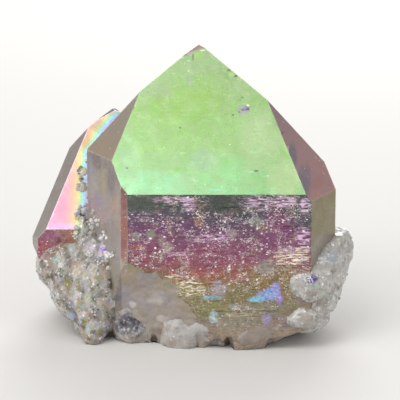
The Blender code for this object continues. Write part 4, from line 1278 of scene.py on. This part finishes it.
def druse_finish(
    name, hues, tinted, milky, spots, clear, milk, share=0.10, cell=1.3, facet=0.5, dark=0.11, lines=0.9
):
    """Small crystals and frosted quartz: cloudy, faceted, with the film's hues in small patches, painted
    white highlights along the facet edges and as glints, and painted shade in the gaps.
    """
    material, tree, where = finish_tree(name)
    lot = add(tree, "Attribute", out="Fac", attribute_name="lot")
    large, edge_highlight_lines = facets(tree, where, cell)
    small, fine_edge_highlight_lines = facets(tree, where, cell * 0.5)
    cloudy = {"Vector": where, "Scale": 1 / 1.8, "Detail": 3.0, "Roughness": 0.55}
    cloud = add(tree, "TexNoise", cloudy, out=0)
    for part, weight in ((large, facet), (small, facet * 0.5), (lot, facet * 0.6)):
        part = add(tree, "Math", {0: part, 1: -0.5}, operation="ADD")
        cloud = add(tree, "Math", {0: part, 1: 0.5 * weight, 2: cloud}, operation="MULTIPLY_ADD")
    stops = [(0.28 + 0.14 * i, code) for i, code in enumerate(milky)]
    colour = add(tree, "ValToRGB", {0: cloud}, stops=stops, out=0)
    drift = add(tree, "TexNoise", {"Vector": where, "Scale": 1 / 2.2, "Detail": 2.0}, out=0)
    hue = add(tree, "Math", {0: drift, 1: 2.6, 2: large}, operation="MULTIPLY_ADD")
    hue = add(tree, "Math", {0: hue}, operation="FRACT")
    steps = len(hues) - 1
    film = add(tree, "ValToRGB", {0: hue}, stops=[(i / steps, code) for i, code in enumerate(hues)], out=0)
    amount = add(tree, "TexNoise", {"Vector": where, "Scale": 1 / 1.4, "Detail": 4.0}, out=0)
    amount = add(tree, "MapRange", {0: amount, 1: 0.46, 2: 0.62, 3: 0.0, 4: tinted}, out=0)
    colour = add(tree, "Mix", {0: amount, 6: colour, 7: film}, out=2, data_type="RGBA")
    colour = spotted(tree, where, colour, spots, ragged_edge(tree, where, 0.6, 0.7))
    # Painted highlights: thin near-white lines along the facet edges, in some places only.
    some = add(tree, "TexNoise", {"Vector": where, "Scale": 1 / 1.3, "Detail": 3.0}, out=0)
    some = add(tree, "MapRange", {0: some, 1: 0.50, 2: 0.62, 3: 0.0, 4: lines}, out=0)
    for edges in (edge_highlight_lines, fine_edge_highlight_lines):
        shown = add(tree, "Math", {0: edges, 1: some}, operation="MULTIPLY")
        colour = add(tree, "Mix", {0: shown, 6: colour, 7: srgb("#ECEAE6")}, out=2, data_type="RGBA")
    # Painted shade: dark specks in the gaps between the crystals.
    painted_gap_shade = glint_and_shade_mask(tree, where, (1.0, 1.0, 1.0), 0.6, dark, 0.40)
    colour = add(tree, "Mix", {0: painted_gap_shade, 6: colour, 7: srgb("#565046")}, out=2, data_type="RGBA")
    # Painted glints: white specks of highlight.
    for size, part, reach in ((0.42, share, 0.38), (0.9, share * 0.8, 0.30)):
        glint_and_shade_specks = glint_and_shade_mask(tree, where, (1.0, 1.0, 1.0), size, part, reach)
        colour = add(tree, "Mix", {0: glint_and_shade_specks, 6: colour, 7: srgb("#FFFFFC")}, out=2, data_type="RGBA")
    return finished(material, tree, where, colour, 0.05, (0.08, 0.24), clear, milk, 0.03)


DRUSE_HUES = ("#A8D8C0", "#C0B0E0", "#E8C0A8", "#B4B070", "#B0D8E0", "#C8A8D8", "#A8D8C0")
druse_plane = (Vector((0.0, -9.0, 0.0)), Vector((0.0, -1.0, 0.0)))
# The pale warm patch at 104, 302 is partly the milky quartz's own colour and partly painted light against the
# shade in the crease beside the side face.
druse_spots = patches(
    druse_plane,
    (48, 258, 12, 13, "#A08074", 0.7), (62, 250, 18, 5, "#A8805C", 0.5), (68, 282, 5, 6, "#98904C", 0.8),
    (80, 305, 4, 4, "#A09450", 0.7), (85, 314, 4, 4, "#949450", 0.7), (101, 323, 4, 4, "#A49C5C", 0.6),
    (93, 339, 6, 3, "#B09C60", 0.6), (77, 264, 7, 8, "#C8B49C", 0.7), (106, 264, 7, 8, "#BCA890", 0.6),
    (71, 252, 5, 5, "#D4E8E0", 0.7), (55, 263, 4, 4, "#90C8B4", 0.6), (103, 246, 5, 4, "#B890E8", 0.85),
    (104, 255, 3, 3, "#A8B0E8", 0.6), (72, 312, 5, 5, "#B4C8EC", 0.7), (90, 247, 7, 5, "#C8B0C4", 0.6),
    (88, 293, 5, 6, "#D8D8B0", 0.6), (104, 302, 7, 20, "#C4B8AC", 0.55),
    (90, 272, 14, 9, "#C8BCA0", 0.45), (94, 343, 8, 5, "#BCB08C", 0.6),
)
# Druse under a thin film: glassy points on grey-white quartz, with pastel patches and painted white glints.
druse_quartz = druse_finish(
    "film_over_druse", DRUSE_HUES, 0.7, ("#665E50", "#8C8374", "#AAA296", "#D2CCC2"), druse_spots,
    clear=0.3, milk=0.15, share=0.20, cell=1.3, facet=0.6, dark=0.10, lines=0.55,
)
# Growths: how many crystals are sown, their least and most width, the same of their rise as a share of it,
# and how far they lean at random.
LEFT_GROWTHS = (
    (1700, (0.9, 2.4), (-0.12, 0.06), 0.22),
    (700, (0.4, 0.9), (-0.05, 0.22), 0.40),
)
overgrown("left_druse", LEFT_LUMPS, 0.2, 60, 0.05, LEFT_GROWTHS, druse_quartz, seed=21)

# The crust on the right
# A frosted, sugary crust of much finer quartz crystals in three lobes, white and letting light through.
# It grew over the right corner of the root, and its points are 0.25 to 1.3 mm wide.
crust_plane = (Vector((0.0, -16.0, 0.0)), Vector((0.0, -1.0, 0.0)))
# The yellow-white spot at 326, 249 is a painted glint.
crust_spots = patches(
    crust_plane,
    (311.5, 279.5, 6.5, 5.0, "#6E5E9E", 1.0), (301, 285, 8, 7, "#CEC8C0", 0.6),
    (314, 286, 9, 4, "#C4D4C4", 0.5), (333, 262, 8, 6, "#B4C8D8", 0.45),
    (327, 275, 10, 8, "#A8A49C", 0.5), (302, 305, 9, 7, "#8E8278", 0.8), (312, 308, 7, 8, "#BCACA0", 0.5),
    (306, 320, 12, 8, "#B4AAA0", 0.5), (326, 249, 3.0, 5.0, "#FFFDEC", 1.0),
    (336, 248, 9, 14, "#DCD2C6", 0.4), (344, 241, 4, 7, "#F4EEE4", 0.7),
)
# Sugary quartz with hardly any film: cloudy white, with many fine painted glints.
crust_quartz = druse_finish(
    "quartz_crust_frosted", ("#C8E0D0", "#D0C8DC", "#E0D4C8", "#D8DCC8", "#C8E0D0"), 0.3,
    ("#A8A198", "#BAB4AC", "#CAC5BE", "#DAD6D0"), crust_spots,
    clear=0.3, milk=0.45, share=0.24, cell=1.1, facet=0.2, dark=0.005,
)
RIGHT_GROWTHS = (
    (500, (0.5, 1.3), (-0.10, 0.06), 0.30),
    (600, (0.25, 0.55), (0.0, 0.28), 0.45),
)
overgrown("right_crust", RIGHT_LUMPS, 0.17, 44, 0.20, RIGHT_GROWTHS, crust_quartz, seed=34)

# The back of the foot
# The photograph doesn't show it: broken milky quartz with druse, and a few stouter crystals leaning out.
# It grew on the same root as the druse in front, and goes on from it round the foot.
BACK_GROWTHS = (
    (420, (1.6, 3.0), (0.05, 0.38), 0.28),
    (900, (0.8, 1.8), (0.0, 0.35), 0.30),
    (900, (0.4, 0.8), (0.0, 0.4), 0.45),
)
# Druse as in front, paler and with fewer painted glints.
back_quartz = druse_finish(
    "film_over_back_druse", DRUSE_HUES, 0.6, ("#8E877E", "#A8A29A", "#C0BAB4", "#D8D4CF"), (),
    clear=0.3, milk=0.3, share=0.08,
)
# The stouter crystals: root, the way each leans, width and length.
OUTLIERS = (
    ((5.5, 11.2, 3.2), (0.22, 0.76, 0.62), 4.3, 6.4),
    ((11.3, 7.0, 3.8), (0.70, 0.52, 0.50), 3.7, 6.0),
    ((-2.1, 11.6, 2.8), (-0.18, 0.84, 0.52), 3.3, 5.2),
    ((-11.5, 11.6, 4.4), (-0.20, 0.80, 0.56), 3.6, 5.2),
    ((-16.5, 7.2, 4.6), (-0.72, 0.50, 0.46), 3.2, 4.6),
    ((15.5, 1.2, 5.2), (0.86, 0.30, 0.40), 3.2, 5.2),
)
overgrown("back_druse", BACK_LUMPS, 0.22, 30, 0.16, BACK_GROWTHS, back_quartz, seed=55)
dice = np.random.default_rng(8)
roots, ways, widths, lengths = (np.array(column, dtype=float) for column in zip(*OUTLIERS))
outlier_points, outlier_triangles, outlier_lots = bristling(roots, ways, widths, lengths, dice)
piece_of("leaning_crystals", outlier_points, outlier_triangles, [back_quartz], marks={"lot": outlier_lots})

# The seam between the two big crystals
# A few small crystals of odd sizes caught in the corner where the side crystal meets the main one.
# They are rooted on the faces of both, and on the top one of the row a pale yellow flash is painted as a
# highlight.
# Each row gives the pixels across and down on the face, the width and rise, and how many stand there.
SEAM = (
    (82, 171, 1.9, 0.25, 1), (81, 179, 1.0, 0.2, 1), (79, 187, 1.6, 0.15, 1), (84, 187, 1.9, 0.25, 1),
    (88, 186, 1.2, 0.2, 1), (87, 197, 0.6, 0.15, 2), (87, 206, 1.5, 0.3, 3), (82, 212, 1.0, 0.3, 3),
    (80, 218, 1.1, 0.3, 4), (81, 224, 1.3, 0.3, 4), (79, 229, 1.1, 0.3, 4), (88, 214, 1.6, 0.4, 4),
    (86, 222, 1.6, 0.4, 4), (86, 160, 0.5, 0.2, 1), (88, 228, 1.6, 0.4, 4),
)
STRIP_SEAM = ((84, 236, 1.2, 0.4, 3), (77, 238, 0.9, 0.3, 3), (82, 244, 1.3, 0.4, 4), (72, 246, 0.9, 0.3, 3))
CREEPING = (
    (88, 238, 1.6, 0.5, 7), (96, 246, 1.8, 0.5, 8), (104, 250, 1.5, 0.4, 6), (93, 230, 1.3, 0.4, 5),
    (101, 238, 1.0, 0.3, 5), (108, 258, 1.3, 0.4, 6), (98, 222, 0.8, 0.2, 3), (110, 268, 1.0, 0.3, 5),
    (90, 252, 1.8, 0.5, 8), (106, 236, 0.6, 0.2, 4), (113, 254, 0.6, 0.2, 4), (94, 214, 0.5, 0.2, 3),
)
seam_spots = patches(
    side_top,
    (81, 173, 8.0, 9.0, "#565C48", 0.9), (84, 171, 3.4, 5.0, "#FFFFC8", 1.0),
    (83, 187, 9.0, 6.0, "#A89C88", 0.7), (80, 185, 3.0, 2.0, "#ACA898", 0.8),
    (88, 210, 8.0, 8.0, "#C4BCC4", 0.7), (80, 224, 3.0, 4.0, "#FCFCD0", 0.9),
    (80, 231, 4.0, 4.0, "#A8E0C0", 0.7), (78, 218, 3.0, 3.0, "#D8E0A8", 0.7),
) + patches(side_front, (84, 240, 6.0, 6.0, "#B8BCB0", 0.6))
# Druse again, glassier, and paler: partly the seam's own colour, partly painted light against the shade
# between the two crystals; with the flash painted as a pale yellow highlight, and the greens of the seam.
seam_quartz = druse_finish(
    "film_over_seam", DRUSE_HUES, 0.7, ("#BCB4A8", "#D0C8BE", "#E0DAD2", "#F0ECE6"), seam_spots,
    clear=0.1, milk=0.3, share=0.26, cell=1.0, facet=0.4, dark=0.02,
)
dice = np.random.default_rng(13)
roots, ways, widths, lengths = [], [], [], []
for plane, places in ((side_top, SEAM), (side_front, STRIP_SEAM), (left_side, CREEPING)):
    for u, v, width, rise, count in places:
        middle, outwards = np.array(seen(u, v, plane)), np.array(plane[1])
        scatter, rooted = (0.0, 0.3) if count == 1 else (0.3, 0.5)
        for _ in range(count):
            roots.append(middle + dice.normal(0.0, scatter * width, 3) * (1.0, 0.5, 1.0) - outwards * rooted)
            ways.append(outwards + dice.normal(0.0, 0.12 + scatter, 3))
            widths.append(width * (1.0 if count == 1 else dice.uniform(0.45, 1.0)))
            lengths.append(rooted + 0.4 + rise * dice.uniform(0.6, 1.3))
seam_points, seam_triangles, seam_lots = bristling(roots, ways, widths, lengths, dice)
piece_of("seam_crystals", seam_points, seam_triangles, [seam_quartz], marks={"lot": seam_lots})

# The studio
# A plain pale floor, soft light from large panels, and the camera where the photograph was taken from.
FLOOR_HALF, FLOOR_DROP = 3.0, 2e-5
AIM = Vector((0.0, 0.0, 18.0))
floor_mesh = bpy.data.meshes.new("floor")
corners = [(x * FLOOR_HALF, y * FLOOR_HALF, -FLOOR_DROP) for x, y in ((-1, -1), (1, -1), (1, 1), (-1, 1))]
floor_mesh.from_pydata(corners, [], [(0, 1, 2, 3)])
floor = bpy.data.objects.new("floor", floor_mesh)
bpy.context.scene.collection.objects.link(floor)
paper = bpy.data.materials.new("pale_paper")
paper.use_nodes = True
paper.node_tree.nodes["Principled BSDF"].inputs["Base Color"].default_value = srgb("#DCDAD6")
paper.node_tree.nodes["Principled BSDF"].inputs["Roughness"].default_value = 0.9
floor_mesh.materials.append(paper)

world = bpy.data.worlds.new("pale_room")
world.use_nodes = True
world.node_tree.nodes["Background"].inputs["Color"].default_value = srgb("#E8E8EA")
world.node_tree.nodes["Background"].inputs["Strength"].default_value = 0.68
bpy.context.scene.world = world


def soft_panel(name, at, size, watts):
    """A square soft light that faces the specimen, placed in millimetres."""
    light = bpy.data.lights.new(name, "AREA")
    light.size = size * MM
    light.energy = watts
    panel = bpy.data.objects.new(name, light)
    panel.location = Vector(at) * MM
    panel.rotation_euler = (AIM - Vector(at)).to_track_quat("-Z", "Y").to_euler()
    bpy.context.scene.collection.objects.link(panel)


soft_panel("key", (-160.0, -260.0, 420.0), 300.0, 0.95)
soft_panel("fill", (320.0, -240.0, 160.0), 300.0, 0.4)
soft_panel("fill_left", (-340.0, -200.0, 140.0), 300.0, 0.6)
soft_panel("rim", (60.0, 360.0, 260.0), 260.0, 1.0)

lens = bpy.data.cameras.new("photographer")
lens.lens = LENS
lens.sensor_width = SENSOR
lens.clip_start = 0.01
camera = bpy.data.objects.new("photographer", lens)
turned = Matrix((RIGHTWARD, UPWARD, -FORWARD)).transposed().to_4x4()
camera.matrix_world = Matrix.Translation(EYE * MM) @ turned
bpy.context.scene.collection.objects.link(camera)
bpy.context.scene.camera = camera
bpy.context.scene.view_settings.view_transform = "Standard"
